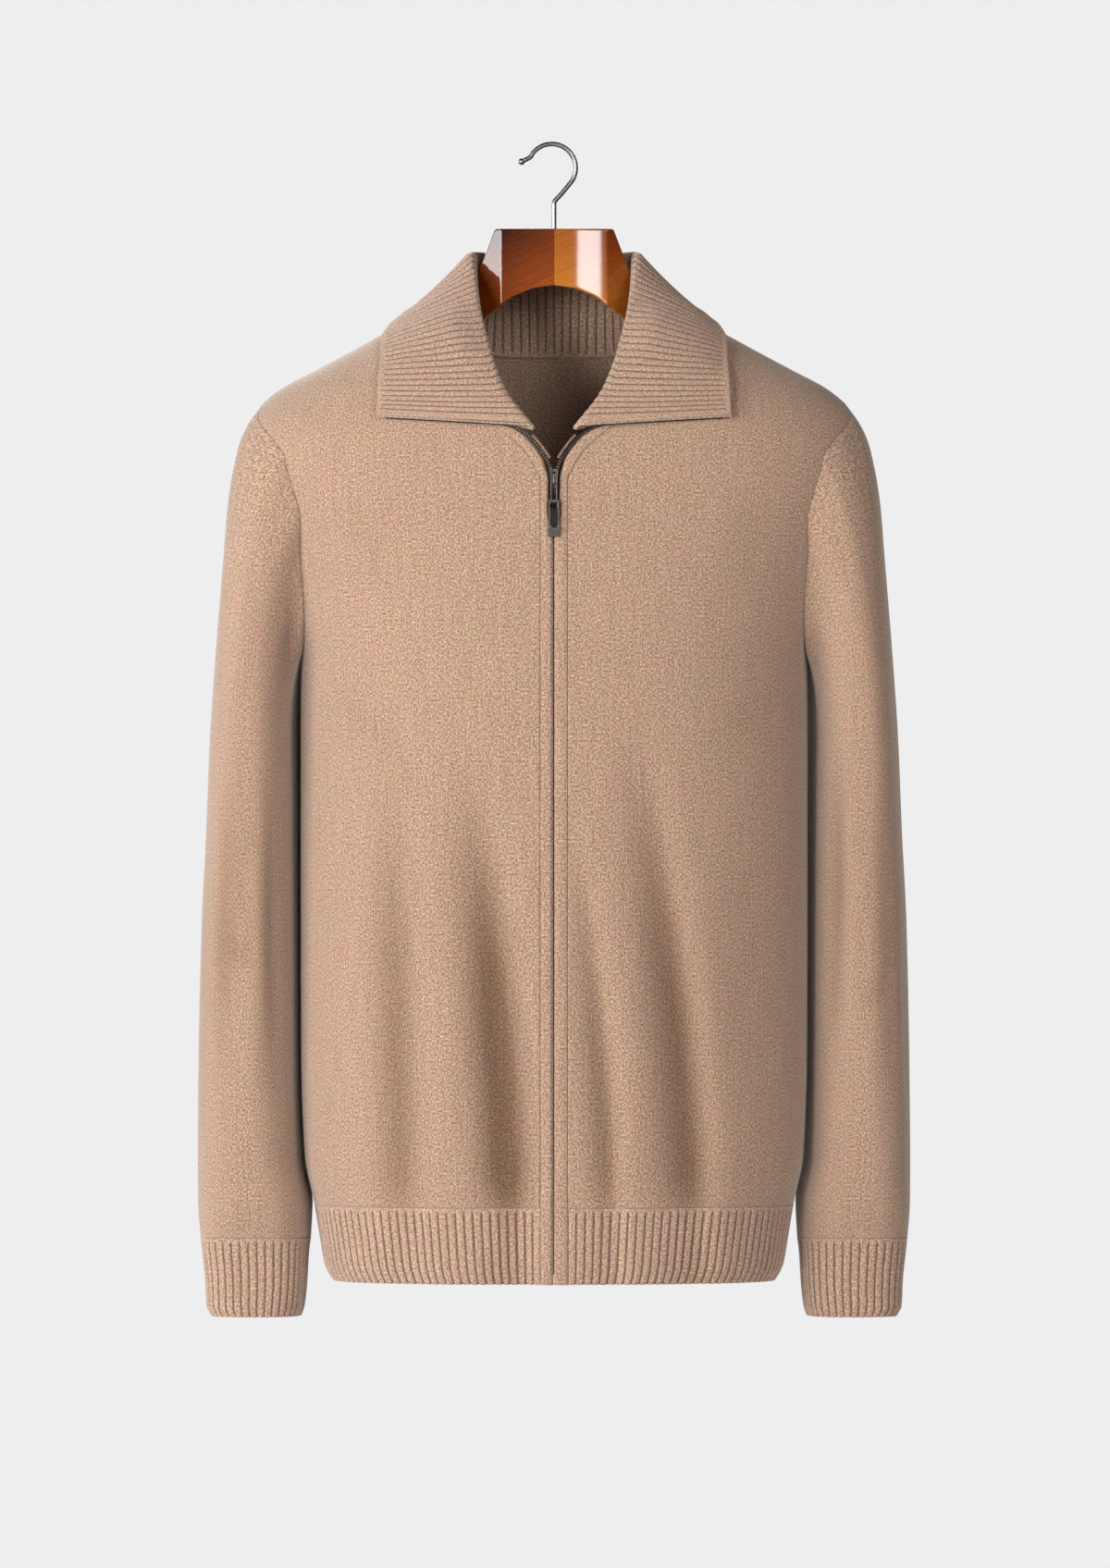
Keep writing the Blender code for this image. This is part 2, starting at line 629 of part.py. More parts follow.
def add_hem(rib):
    """One ribbed band from front edge to front edge, round the back."""
    z = np.linspace(HEM_END, HEM_SEAM, HEM_ROWS + 1)[:, None]
    scale = along(BODY, "half_width", z) / along(BODY, "half_width", HEM_SEAM)
    front, back = FRONT_X[0] * scale, BACK_X[0] * scale
    front[:, 0] = BAND_EDGE
    halves = [
        np.concatenate([skin(side * front, z, -1), skin(side * back, z, 1)[:, -2::-1]], axis=1)
        for side in (-1, 1)
    ]
    points = np.concatenate([halves[0], halves[1][:, -2::-1]], axis=1)
    inward = -outward(points)
    add_wall("hem", eased(points, inward, ["last_row", "first_column", "last_column"]), inward, CLOTH, rib)


def add_collar(rib):
    grid = collar_grid()
    inward = -collar_normals(grid)
    inward[0] = -outward(grid[0])
    outer = eased(grid, inward, ["first_row"])
    outer[1:] -= inward[1:] * RIB / 2
    add_wall("collar", outer, inward, RIB, rib)


# The front edges and the zip


def add_bands(rib):
    """The raised bands down both front edges. They turn out with the panels where the zip is open."""
    for side, name in ((1, "left"), (-1, "right")):
        hem_z = np.linspace(HEM_END, HEM_SEAM, HEM_ROWS + 1)
        z = np.concatenate([hem_z[:-1], FRONT_Z[:, 0], TURN_LEVELS[1 : BAND_TURNS + 1]])
        x = along(PANEL_EDGE, "x", z)
        heading = unit(np.stack([np.gradient(x), np.gradient(z)], axis=-1))
        width = along(BAND, "width", z)
        inner = skin(side * (x - heading[:, 1] * width), z + heading[:, 0] * width, -1)
        points = np.stack([inner, skin(side * x, z, -1)], axis=1)
        inward = -outward(points)
        add_wall(f"edge_{name}", eased(points, inward, ["last_column"]), inward, CLOTH, rib)


def strip(side, run, near, far, lift):
    """A strip along the zip, from near to far of the middle of its teeth, over the skin by lift."""
    x, z = along(ZIP, "x", run), along(ZIP, "z", run)
    heading = unit(np.stack([np.gradient(x), np.gradient(z)], axis=-1))
    edges = [(side * (x + heading[:, 1] * w), z - heading[:, 0] * w) for w in (near, far)]
    return np.stack([on_skin(*edge, lift) for edge in edges], axis=1)


def add_zip(metal, tape, cloth):
    ends = ZIP["run"]
    straight = np.linspace(0, OPEN_RUN, 13)
    turned = np.linspace(OPEN_RUN, ends[-1], 27)[1:]
    run = np.concatenate([straight, turned])
    half = TEETH_WIDTH / 2
    for side, name in ((1, "left"), (-1, "right")):
        lift = along(ZIP, "lift", run) + TEETH_DEPTH / 2
        teeth = strip(side, run, -half, half, lift)
        add_wall(f"teeth_{name}", teeth, -outward(teeth), TEETH_DEPTH, metal)
        lift = along(ZIP, "lift", straight[:-1]) + TAPE_THICKNESS / 2
        ribbon = strip(side, straight[:-1], half + GAP, half + TAPE_WIDTH, lift)
        add_wall(f"tape_{name}", ribbon, -outward(ribbon), TAPE_THICKNESS, tape)
        bare = np.linspace(*FACING_RUN, 7)
        lift = along(ZIP, "lift", bare) + TEETH_DEPTH / 2
        ribbon = strip(side, bare, -half - GAP - FACING_WIDTH, -half - GAP, lift)
        add_wall(f"facing_{name}", ribbon, -outward(ribbon), TEETH_DEPTH, cloth)


def add_slider(metal):
    """Two plates round the teeth, joined at the top, with a bridge that holds the pull tab."""
    front = float(skin(0.0, SLIDER_END, -1)[1]) - THROAT / 2 - 0.0002
    back = front + THROAT
    face = front - PLATE
    bridge_top, bridge_end, bridge_half = SLIDER_TOP - 0.0022, SLIDER_END + 0.0014, 0.0009
    roof, leg = face - 0.0028, 0.0011
    boxes = [
        ((-SLIDER_HALF, face, SLIDER_END), (SLIDER_HALF, front, SLIDER_TOP)),
        ((-SLIDER_HALF, back, SLIDER_END), (SLIDER_HALF, back + PLATE, SLIDER_TOP)),
        ((-0.0005, front - 0.0003, SLIDER_TOP - 0.0022), (0.0005, back + 0.0003, SLIDER_TOP - 0.0001)),
        ((-bridge_half, roof, bridge_top - leg), (bridge_half, face + 0.0003, bridge_top)),
        ((-bridge_half, roof, bridge_end), (bridge_half, face + 0.0003, bridge_end + leg)),
        ((-bridge_half, roof, bridge_end + leg / 2), (bridge_half, roof + 0.0009, bridge_top - leg / 2)),
    ]
    add_boxes("slider", boxes, metal)
    return face


def add_pull_tab(metal, face):
    """A flat tab with a slot. Its crossbar passes under the slider's bridge, and it hangs from there."""
    pivot = bpy.data.objects.new("pull_pivot", None)
    pivot.location = (0, face - 0.0011, PIVOT)
    bpy.context.scene.collection.objects.link(pivot)
    half_bar, slot, neck, shoulder = 0.0005, 0.0014, 0.0026, -0.0112
    depth, end = TAB_DEPTH / 2, TAB_END - PIVOT
    boxes = [
        ((-neck, -0.0005, -half_bar), (neck, 0.0005, half_bar)),
        ((-neck, -0.0005, shoulder - 0.0006), (-slot, 0.0005, 0.0001)),
        ((slot, -0.0005, shoulder - 0.0006), (neck, 0.0005, 0.0001)),
        ((-TAB_HALF, -depth, end), (TAB_HALF, depth, shoulder)),
    ]
    tab = add_boxes("pull_tab", boxes, metal)
    tab.parent = pivot
    for union in tab.modifiers:
        union.object.parent = pivot


# The hanger


def add_hanger_wood(wood):
    """A neck block whose sides turn back to two arms, arched below, that fill the shoulders."""
    right = HANGER["x"][::-1]
    stations = np.concatenate([-right, HANGER["x"][1:]])
    shape = bmesh.new()
    rings = []
    for x in stations:
        top, foot, deep = (float(along(HANGER, name, abs(x))) for name in ("top", "foot", "half_depth"))
        corner = 0.0014 + 0.0066 * min(max(abs(x) - 0.045, 0) / 0.075, 1)
        outline = [
            (-deep, foot + corner),
            (-deep, top - corner),
            (-deep + corner, top),
            (deep - corner, top),
            (deep, top - corner),
            (deep, foot + corner),
            (deep - corner, foot),
            (-deep + corner, foot),
        ]
        rings.append([shape.verts.new((x, y, z)) for y, z in outline])
    for one, two in zip(rings, rings[1:]):
        for i in range(len(one)):
            j = (i + 1) % len(one)
            shape.faces.new((one[i], one[j], two[j], two[i]))
    for ring in (rings[0], rings[-1]):
        shape.faces.new(ring)
    bmesh.ops.triangulate(shape, faces=shape.faces)
    block = add_object("hanger_wood", shape, wood)
    bore = bmesh.new()
    bmesh.ops.create_cone(bore, cap_ends=True, segments=16, radius1=0.0022, radius2=0.0022, depth=0.030)
    bmesh.ops.translate(bore, vec=(0, 0, HANGER["top"][0]), verts=bore.verts)
    drill = add_object("hook_bore", bore, wood)
    drill.hide_render = True
    drill.display_type = "WIRE"
    cut = block.modifiers.new("bore", "BOOLEAN")
    cut.operation = "DIFFERENCE"
    cut.object = drill


def add_hook(steel):
    """Bent wire: a ball end, three quarters of a circle, a bend, and a stem into the wood."""
    centre_x, centre_z = -0.0017, WIRE - HOOK_RADIUS
    route = [(-0.0243, -0.0111), (-0.0215, -0.0108)]
    for step in range(19):
        angle = math.radians(158 - (158 + 44) * step / 18)
        route.append((centre_x + HOOK_RADIUS * math.cos(angle), centre_z + HOOK_RADIUS * math.sin(angle)))
    route += [(0.0052, -0.0345), (0.0012, -0.0388), (0.0, -0.0410), (0.0, -0.0440), (0.0, -0.0745)]
    curve = bpy.data.curves.new("hanger_hook", "CURVE")
    curve.dimensions = "3D"
    curve.bevel_depth = WIRE
    curve.bevel_resolution = 2
    curve.use_fill_caps = True
    line = curve.splines.new("POLY")
    line.points.add(len(route) - 1)
    for point, (x, z) in zip(line.points, route):
        point.co = (x, 0, z, 1)
    curve.materials.append(steel)
    hook = bpy.data.objects.new("hanger_hook", curve)
    bpy.context.scene.collection.objects.link(hook)
    return hook


def build():
    """Makes every piece."""
    cloth = finish("plain_knit", (0.42, 0.30, 0.21), 0.95)
    rib = finish("ribbed_knit", (0.44, 0.32, 0.23), 0.95)
    tape = finish("zip_tape", (0.10, 0.07, 0.05), 0.85)
    metal = finish("zip_metal", (0.12, 0.11, 0.10), 0.35, 1.0)
    wood = finish("varnished_wood", (0.30, 0.08, 0.02), 0.15)
    steel = finish("polished_steel", (0.75, 0.74, 0.72), 0.12, 1.0)
    add_body(cloth)
    add_sleeves(cloth, rib)
    add_hem(rib)
    add_collar(rib)
    add_bands(rib)
    add_zip(metal, tape, cloth)
    add_pull_tab(metal, add_slider(metal))
    add_hanger_wood(wood)
    add_hook(steel)


for old in list(bpy.data.objects):
    bpy.data.objects.remove(old, do_unlink=True)
build()
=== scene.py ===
"""A zip cardigan with a turned-down ribbed funnel collar, hanging on a wooden hanger.

The sections follow the order of making: the hanger, the knitted panels, the ribbed hem, cuffs and
collar, the front bands and the zip, and last the studio. Metres, +Z up. The front faces -Y, +X is
the wearer's left, and the origin is the inner crown of the hook.
"""

import math

import bpy
import numpy as np
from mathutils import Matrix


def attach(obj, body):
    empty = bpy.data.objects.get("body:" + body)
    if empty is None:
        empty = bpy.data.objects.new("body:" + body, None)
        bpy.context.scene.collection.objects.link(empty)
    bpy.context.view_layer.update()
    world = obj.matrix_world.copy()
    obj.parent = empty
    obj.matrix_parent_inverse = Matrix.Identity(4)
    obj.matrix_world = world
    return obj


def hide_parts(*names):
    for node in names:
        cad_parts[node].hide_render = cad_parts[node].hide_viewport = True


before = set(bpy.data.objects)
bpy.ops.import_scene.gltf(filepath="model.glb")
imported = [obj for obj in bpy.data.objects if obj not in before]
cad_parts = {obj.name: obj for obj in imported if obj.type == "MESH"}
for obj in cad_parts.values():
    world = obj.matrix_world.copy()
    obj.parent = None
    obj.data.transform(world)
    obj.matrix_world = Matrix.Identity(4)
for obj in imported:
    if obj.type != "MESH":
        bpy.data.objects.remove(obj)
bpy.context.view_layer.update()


# ---------------------------------------------------------------------------------------- hook
# The hanger's hook is one length of polished 3.5 mm steel wire. It is bent to most of a circle,
# its stem is screwed down into the neck block, and a small ball closes the open end.

WIRE_RADIUS = 0.00175
BALL_RADIUS = 0.0025
ROUND_RADIUS = 0.0174  # of the hook's round part, at the middle of the wire
ROUND_CENTRE = (-0.0017, WIRE_RADIUS - ROUND_RADIUS)
ROUND_START, ROUND_FINISH, ROUND_STEPS = 153, -44, 18  # the round part's ends, in degrees
HOOK_TIP = [(-0.0258, -0.0119), (-0.0243, -0.0113), (-0.0222, -0.0104)]
HOOK_NECK = [(0.0052, -0.0345), (0.0012, -0.0388), (0.0, -0.0412), (0.0, -0.0440), (0.0, -0.0745)]
STEEL = (0.20, 0.195, 0.19)


def unit(vectors):
    return vectors / np.maximum(np.linalg.norm(vectors, axis=-1, keepdims=True), 1e-12)


def run_along(points):
    """Distance from the first point to each one along a line of points."""
    return np.concatenate([[0], np.cumsum(np.linalg.norm(np.diff(points, axis=0), axis=1))])


def smooth_line(points, step):
    """A smooth curve through given points, cut into even steps of about that length."""
    points = np.asarray(points, float)
    ends = 2 * points[:1] - points[1:2], 2 * points[-1:] - points[-2:-1]
    held = np.concatenate([ends[0], points, ends[1]])
    t = np.linspace(0, 1, 24, endpoint=False)[:, None]
    dense = []
    for a, b, c, d in zip(held, held[1:], held[2:], held[3:]):
        bend = (2 * a - 5 * b + 4 * c - d) * t**2 + (3 * b - a - 3 * c + d) * t**3
        dense.append((2 * b + (c - a) * t + bend) / 2)
    dense = np.concatenate(dense + [points[-1:]])
    run = run_along(dense)
    even = np.linspace(0, run[-1], max(2, round(run[-1] / step)) + 1)
    return np.stack([np.interp(even, run, dense[:, k]) for k in range(3)], axis=1)


def rod(path, radii, sides=14, closed=False, flat=1.0):
    """A round rod swept along a path. flat thins it across the direction that it starts with."""
    path = np.asarray(path, float)
    count = len(path)
    ahead = np.roll(path, -1, axis=0) - np.roll(path, 1, axis=0) if closed else np.gradient(path, axis=0)
    ahead = unit(ahead)
    across = np.zeros_like(path)
    start = np.array([0.0, 1.0, 0.0])
    if abs(ahead[0] @ start) > 0.9:
        start = np.array([1.0, 0.0, 0.0])
    for i in range(count):
        start = start - ahead[i] * (ahead[i] @ start)
        start = start / np.linalg.norm(start)
        across[i] = start
    other = np.cross(ahead, across)
    turn = np.linspace(0, 2 * np.pi, sides, endpoint=False)
    radii = np.broadcast_to(radii, count)[:, None, None]
    rings = across[:, None] * np.cos(turn)[:, None] * flat + other[:, None] * np.sin(turn)[:, None]
    points = (path[:, None] + rings * radii).reshape(-1, 3)
    quads = []
    for i in range(count if closed else count - 1):
        for j in range(sides):
            k, n = (j + 1) % sides, (i + 1) % count
            quads.append((i * sides + j, i * sides + k, n * sides + k, n * sides + j))
    caps = [] if closed else [0, count - 1]
    return {"points": points, "quads": np.array(quads), "caps": caps, "sides": sides}


def add_piece(name, parts, material, sharp=None):
    """One mesh object from parts, each a dict of points and quads, with a cloth map if it has one."""
    points, quads, places, relief, caps = [], [], [], [], []
    start = 0
    for part in parts:
        count = len(part["points"])
        points.append(part["points"])
        quads.append(part["quads"] + start)
        places.append(part.get("places", np.zeros((len(part["quads"]), 4, 2))))
        relief.append(part.get("relief", np.zeros(count)))
        for ring in part.get("caps", []):
            first = start + ring * part["sides"]
            ring_points = list(range(first, first + part["sides"]))
            caps.append(ring_points if ring else ring_points[::-1])
        start += count
    points, quads = np.concatenate(points), np.concatenate(quads)
    mesh = bpy.data.meshes.new(name)
    mesh.from_pydata(points.tolist(), [], quads.tolist() + caps)
    layer = mesh.uv_layers.new(name="cloth")
    corners = np.zeros((len(mesh.loops), 2), np.float32)
    places = np.concatenate(places).reshape(-1, 2)
    corners[: len(places)] = places
    layer.uv.foreach_set("vector", corners.ravel())
    # The groove attribute carries each point's groove depth and the painted shade of folds; the wool darkens
    # its colour by it as painted shade.
    groove = mesh.attributes.new("groove", "FLOAT", "POINT")
    groove.data.foreach_set("value", np.concatenate(relief).astype(np.float32))
    mesh.materials.append(material)
    mesh.shade_smooth()
    if sharp:
        mesh.set_sharp_from_angle(angle=math.radians(sharp))
    mesh.validate()
    thing = bpy.data.objects.new(name, mesh)
    bpy.context.scene.collection.objects.link(thing)
    return thing


def fit(piece, node, body="cardigan"):
    """Puts a piece on its body in the place of its node, which it hides."""
    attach(piece, body)
    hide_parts(node)
    return piece


def new_finish(name):
    """A new material, its node tree and its shader."""
    material = bpy.data.materials.new(name)
    material.use_nodes = True
    return material, material.node_tree, material.node_tree.nodes["Principled BSDF"]


def add_node(tree, kind, sockets, **settings):
    """A node with its settings, and its sockets set to a value or linked to another's output."""
    made = tree.nodes.new(kind)
    for setting, value in settings.items():
        setattr(made, setting, value)
    for socket, value in sockets.items():
        if isinstance(value, bpy.types.NodeSocket):
            tree.links.new(value, made.inputs[socket])
        else:
            made.inputs[socket].default_value = value
    return made


def sum_of(tree, operation, *values):
    return add_node(tree, "ShaderNodeMath", dict(enumerate(values)), operation=operation).outputs[0]


def spread(tree, value, low, high, new_low, new_high):
    """The value with its span from low to high laid over new_low to new_high."""
    sockets = {0: value, 1: low, 2: high, 3: new_low, 4: new_high}
    return add_node(tree, "ShaderNodeMapRange", sockets).outputs[0]


def object_place(tree):
    return add_node(tree, "ShaderNodeTexCoord", {}).outputs["Object"]


def groove_depth_and_painted_shade(tree):
    """How deep in a groove or a fold a point lies, from the mesh's own measure of it, with the painted shade
    of folds; the wool paints shade into its colour by it.
    """
    return add_node(tree, "ShaderNodeAttribute", {}, attribute_name="groove").outputs["Fac"]


def noise_of(tree, place, scale, detail=2.0, roughness=0.5):
    sockets = {"Vector": place, "Scale": scale, "Detail": detail, "Roughness": roughness}
    return add_node(tree, "ShaderNodeTexNoise", sockets).outputs[0]


def tones(tree, factor, stops):
    """Colours along a ramp, from (place, colour) stops."""
    ramp = add_node(tree, "ShaderNodeValToRGB", {0: factor})
    elements = ramp.color_ramp.elements
    while len(elements) < len(stops):
        elements.new(0.5)
    for element, (place, colour) in zip(elements, stops):
        element.position = place
        element.color = (*colour, 1)
    return ramp.outputs[0]


def raised(tree, height, distance, strength=1.0):
    sockets = {"Height": height, "Distance": distance, "Strength": strength}
    return add_node(tree, "ShaderNodeBump", sockets).outputs[0]


def dress(tree, shader, colour, normal, **values):
    """Gives a shader its colour and relief, and sets its other sockets, named with underscores."""
    tree.links.new(colour, shader.inputs["Base Color"])
    tree.links.new(normal, shader.inputs["Normal"])
    for socket, value in values.items():
        shader.inputs[socket.replace("_", " ")].default_value = value


def metal_finish(name, colour, roughness, deep_colour=None):
    """Bright metal with fine drawing marks. The colour of its hollows may differ."""
    material, tree, shader = new_finish(name)
    place = object_place(tree)
    marks = noise_of(tree, place, 900.0, 3.0, 0.7)
    wear = noise_of(tree, place, 160.0, 2.0)
    lighter = tuple(min(1, c * 1.12) for c in colour)
    base = tones(tree, wear, [(0.35, tuple(c * 0.86 for c in colour)), (0.65, lighter)])
    if deep_colour:
        sockets = {0: groove_depth_and_painted_shade(tree), 6: base, 7: (*deep_colour, 1)}
        base = add_node(tree, "ShaderNodeMix", sockets, data_type="RGBA").outputs[2]
    rough = spread(tree, marks, 0.3, 0.7, roughness * 0.8, roughness * 1.35)
    tree.links.new(rough, shader.inputs["Roughness"])
    dress(tree, shader, base, raised(tree, marks, 0.00002), Metallic=1.0)
    return material


round_turn = np.radians(np.linspace(ROUND_START, ROUND_FINISH, ROUND_STEPS + 1))
hook_round = [
    (ROUND_CENTRE[0] + ROUND_RADIUS * math.cos(a), ROUND_CENTRE[1] + ROUND_RADIUS * math.sin(a))
    for a in round_turn
]
hook_path = smooth_line([(x, 0, z) for x, z in HOOK_TIP + hook_round + HOOK_NECK], 0.00035)
from_tip = run_along(hook_path)
ball = np.sqrt(np.clip(BALL_RADIUS**2 - (from_tip - BALL_RADIUS) ** 2, 1e-9, None))
wire = WIRE_RADIUS * np.clip(from_tip / BALL_RADIUS - 1, 0.35, 1)
hook_steel = metal_finish("polished_steel_wire", STEEL, 0.30)
hook = add_piece("hook", [rod(hook_path, np.maximum(ball, wire * (from_tip > BALL_RADIUS)), 18)], hook_steel)
fit(hook, "hanger_hook")


# -------------------------------------------------------------------------------- hanger wood
# The hanger is beech, glued up from two halves at the middle of its neck block. It is cut to an
# arch below, its sides turn back at two sharp arrises, and it is stained and gloss varnished.

# Height of the top and foot, and half the depth, at each distance from the middle
HANGER = [
    (0.0000, -0.0604, -0.1014, 0.0190),
    (0.0150, -0.0604, -0.1034, 0.0190),
    (0.0300, -0.0604, -0.1096, 0.0190),
    (0.0385, -0.0604, -0.1158, 0.0190),
    (0.0430, -0.0606, -0.1192, 0.0160),
    (0.0495, -0.0775, -0.1244, 0.0118),
    (0.0556, -0.0925, -0.1296, 0.0080),
    (0.0596, -0.1000, -0.1335, 0.0066),
    (0.0680, -0.1140, -0.1425, 0.0070),
    (0.0780, -0.1228, -0.1520, 0.0082),
    (0.0900, -0.1262, -0.1600, 0.0100),
    (0.1220, -0.1400, -0.1770, 0.0130),
    (0.1600, -0.1602, -0.1960, 0.0170),
    (0.1880, -0.1752, -0.2060, 0.0190),
]
ARRIS = 0.0385
ARRIS_SOFTNESS = 0.0005
FACE_CROWN = 0.0013  # how far the front and back of the block swell at their middle
ARM_END, TIP = 0.1880, 0.006  # where an arm ends, and the length of its rounded tip
EDGE_HOLD = 0.0008  # how near a row of points lies beside each rounded edge, to keep the flats flat
STAIN_DARK, STAIN_RED, STAIN_AMBER = (0.022, 0.003, 0.001), (0.175, 0.033, 0.003), (0.40, 0.135, 0.016)


def hanger_section(x):
    """Points round the hanger at x, by way of its four rounded corners."""
    reach = abs(x) + np.linspace(-1, 1, 5) * ARRIS_SOFTNESS
    columns = np.array(HANGER).T
    top, foot, deep = (np.interp(np.abs(reach), columns[0], column).mean() for column in columns[1:])
    deep += FACE_CROWN * max(0.0, 1 - (x / ARRIS) ** 2)
    corner = 0.0011 + 0.0069 * min(max(abs(x) - 0.045, 0) / 0.075, 1)
    drawn = math.sqrt(max(1 - (max(abs(x) - ARM_END + TIP, 0) / (TIP + 0.00005)) ** 2, 0.01))
    middle = (top + foot) / 2
    outline = []
    for side_y, side_z, first in ((-1, 1, 180), (1, 1, 90), (1, -1, 0), (-1, -1, -90)):
        centre_y, centre_z = side_y * (deep - corner), (top if side_z > 0 else foot) - side_z * corner
        for turn, past in ((0, -EDGE_HOLD), (0, 0), (22.5, 0), (45, 0), (67.5, 0), (90, 0), (90, EDGE_HOLD)):
            angle = math.radians(first - turn)
            y = centre_y + corner * math.cos(angle) + past * math.sin(angle)
            z = centre_z + corner * math.sin(angle) - past * math.cos(angle)
            outline.append((y, z))
    return [(x, y * drawn, middle + (z - middle) * drawn) for y, z in outline]


def tinted(tree, colour, tint):
    """One colour multiplied by another."""
    sockets = {0: 1.0, 6: colour, 7: tint}
    return add_node(tree, "ShaderNodeMix", sockets, data_type="RGBA", blend_type="MULTIPLY").outputs[2]


def grain_finish():
    """Stained beech under gloss varnish: two boards, the right one lighter, grain along the arms."""
    material, tree, shader = new_finish("varnished_beech")
    place = object_place(tree)
    x, y, z = add_node(tree, "ShaderNodeSeparateXYZ", {0: place}).outputs
    warp = noise_of(tree, place, 14.0, 2.0)
    lean = sum_of(tree, "MULTIPLY_ADD", x, -0.35, z)
    long_way = sum_of(tree, "MULTIPLY", x, 30.0)
    cross_way = sum_of(tree, "MULTIPLY_ADD", warp, 6.0, sum_of(tree, "MULTIPLY", lean, 420.0))
    grain_place = add_node(tree, "ShaderNodeCombineXYZ", {0: long_way, 1: y, 2: cross_way}).outputs[0]
    grain = noise_of(tree, grain_place, 1.0, 4.0, 0.62)
    pores = noise_of(tree, place, 700.0, 3.0, 0.75)
    # The stain lies dark at the top left and thins out to amber low down and right of the joint; towards the
    # right arris and beyond it the colour is darkened again as painted shade
    fall = spread(tree, z, -0.060, -0.112, 0.0, 0.42)
    board = spread(tree, x, -0.0003, 0.0003, 0.10, 0.50)
    left = spread(tree, x, -0.040, -0.004, -0.14, 0.10)
    # painted shade: darker from a little right of the joint out over the right arris and beyond
    far = spread(tree, x, 0.012, 0.040, 0.0, -0.30)
    depth = sum_of(tree, "ADD", sum_of(tree, "ADD", fall, board), sum_of(tree, "ADD", left, far))
    speckle = sum_of(tree, "MULTIPLY_ADD", grain, 0.44, sum_of(tree, "MULTIPLY", pores, 0.20))
    depth = sum_of(tree, "ADD", depth, sum_of(tree, "SUBTRACT", speckle, 0.32))
    colour = tones(tree, depth, [(0.0, STAIN_DARK), (0.45, STAIN_RED), (1.0, STAIN_AMBER)])
    joint = spread(tree, sum_of(tree, "ABSOLUTE", x), 0.0001, 0.0004, 0.55, 1.0)
    dress(
        tree,
        shader,
        tinted(tree, colour, joint),
        raised(tree, speckle, 0.00005),
        Roughness=0.38,
        Specular_IOR_Level=0.05,
        Coat_Weight=1.0,
        Coat_Roughness=0.05,
        Coat_IOR=1.5,
    )
    return material


near_block = np.arange(-0.066, 0.0661, 0.0011)
at_arris = np.concatenate([s * ARRIS + np.linspace(-0.001, 0.001, 7) for s in (-1, 1)])
out_arm = np.linspace(0.069, ARM_END - TIP, 34)
arm_tip = ARM_END - TIP + TIP * np.sin(np.linspace(0.2, np.pi / 2, 6))
stations = np.concatenate([near_block, at_arris, out_arm, -out_arm, arm_tip, -arm_tip])
sections = np.array([hanger_section(x) for x in np.unique(np.round(stations, 6))])
rings, sides = sections.shape[:2]
index = np.arange(rings * sides).reshape(rings, sides)
turned = np.roll(index, -1, axis=1)
wood_quads = np.stack([index[:-1], index[1:], turned[1:], turned[:-1]], axis=-1).reshape(-1, 4)
wood_part = {"points": sections.reshape(-1, 3), "quads": wood_quads, "caps": [0, rings - 1], "sides": sides}
wood = add_piece("hanger", [wood_part], grain_finish(), sharp=50)
fit(wood, "hanger_wood")


# --------------------------------------------------------------------------------------- back
# The back is one panel of fine stockinette, knitted in a heathered wool and milled until it is
# slightly fuzzy. It is shaped to one hollow form with the fronts, and linked to them at the sides.

FRONT, BACK = -1, 1
# The body's level sections: half width, and how far the front and back stand from the middle
BODY = [
    (-0.8212, 0.1600, 0.0930, 0.0900),
    (-0.8100, 0.1660, 0.0960, 0.0930),
    (-0.7900, 0.1695, 0.0975, 0.0940),
    (-0.7660, 0.1735, 0.0990, 0.0955),
    (-0.7300, 0.1805, 0.1030, 0.0990),
    (-0.6600, 0.1832, 0.1060, 0.1010),
    (-0.5500, 0.1836, 0.1080, 0.1030),
    (-0.4500, 0.1836, 0.1095, 0.1050),
    (-0.3720, 0.1836, 0.1085, 0.1060),
    (-0.3400, 0.1900, 0.1070, 0.1050),
    (-0.3000, 0.2000, 0.1048, 0.1030),
    (-0.2700, 0.2120, 0.1036, 0.1000),
    (-0.2500, 0.2210, 0.1030, 0.0970),
    (-0.2300, 0.2280, 0.1024, 0.0935),
    (-0.2150, 0.2290, 0.1008, 0.0900),
    (-0.2000, 0.2235, 0.0972, 0.0855),
    (-0.1860, 0.2105, 0.0925, 0.0805),
    (-0.1753, 0.1970, 0.0885, 0.0765),
    (-0.1620, 0.1720, 0.0840, 0.0710),
    (-0.1485, 0.1467, 0.0785, 0.0645),
    (-0.1350, 0.1220, 0.0710, 0.0580),
    (-0.1235, 0.1000, 0.0610, 0.0520),
    (-0.1145, 0.0780, 0.0520, 0.0460),
]
SIDE_POWER, DEPTH_POWER = 2.6, 2.2  # how square the sections are
HEM_SEAM, HEM_END = -0.7660, -0.8212
UNDERARM, SHOULDER_TIP, NECK_POINT = -0.3720, -0.1860, -0.1145
# The armhole's edge at each height, as a share of the half width
ARMHOLE = [
    (-0.3720, 1.000),
    (-0.3640, 0.982),
    (-0.3400, 0.947),
    (-0.3000, 0.912),
    (-0.2604, 0.852),
    (-0.2289, 0.8465),
    (-0.2155, 0.877),
    (-0.2075, 0.914),
    (-0.2001, 0.953),
    (-0.1860, 1.000),
]
# The neck seam on the back, x and height
BACK_NECK = [
    (0.0000, -0.1505),
    (0.0300, -0.1502),
    (0.0500, -0.1480),
    (0.0640, -0.1390),
    (0.0730, -0.1270),
    (0.0780, -0.1145),
]
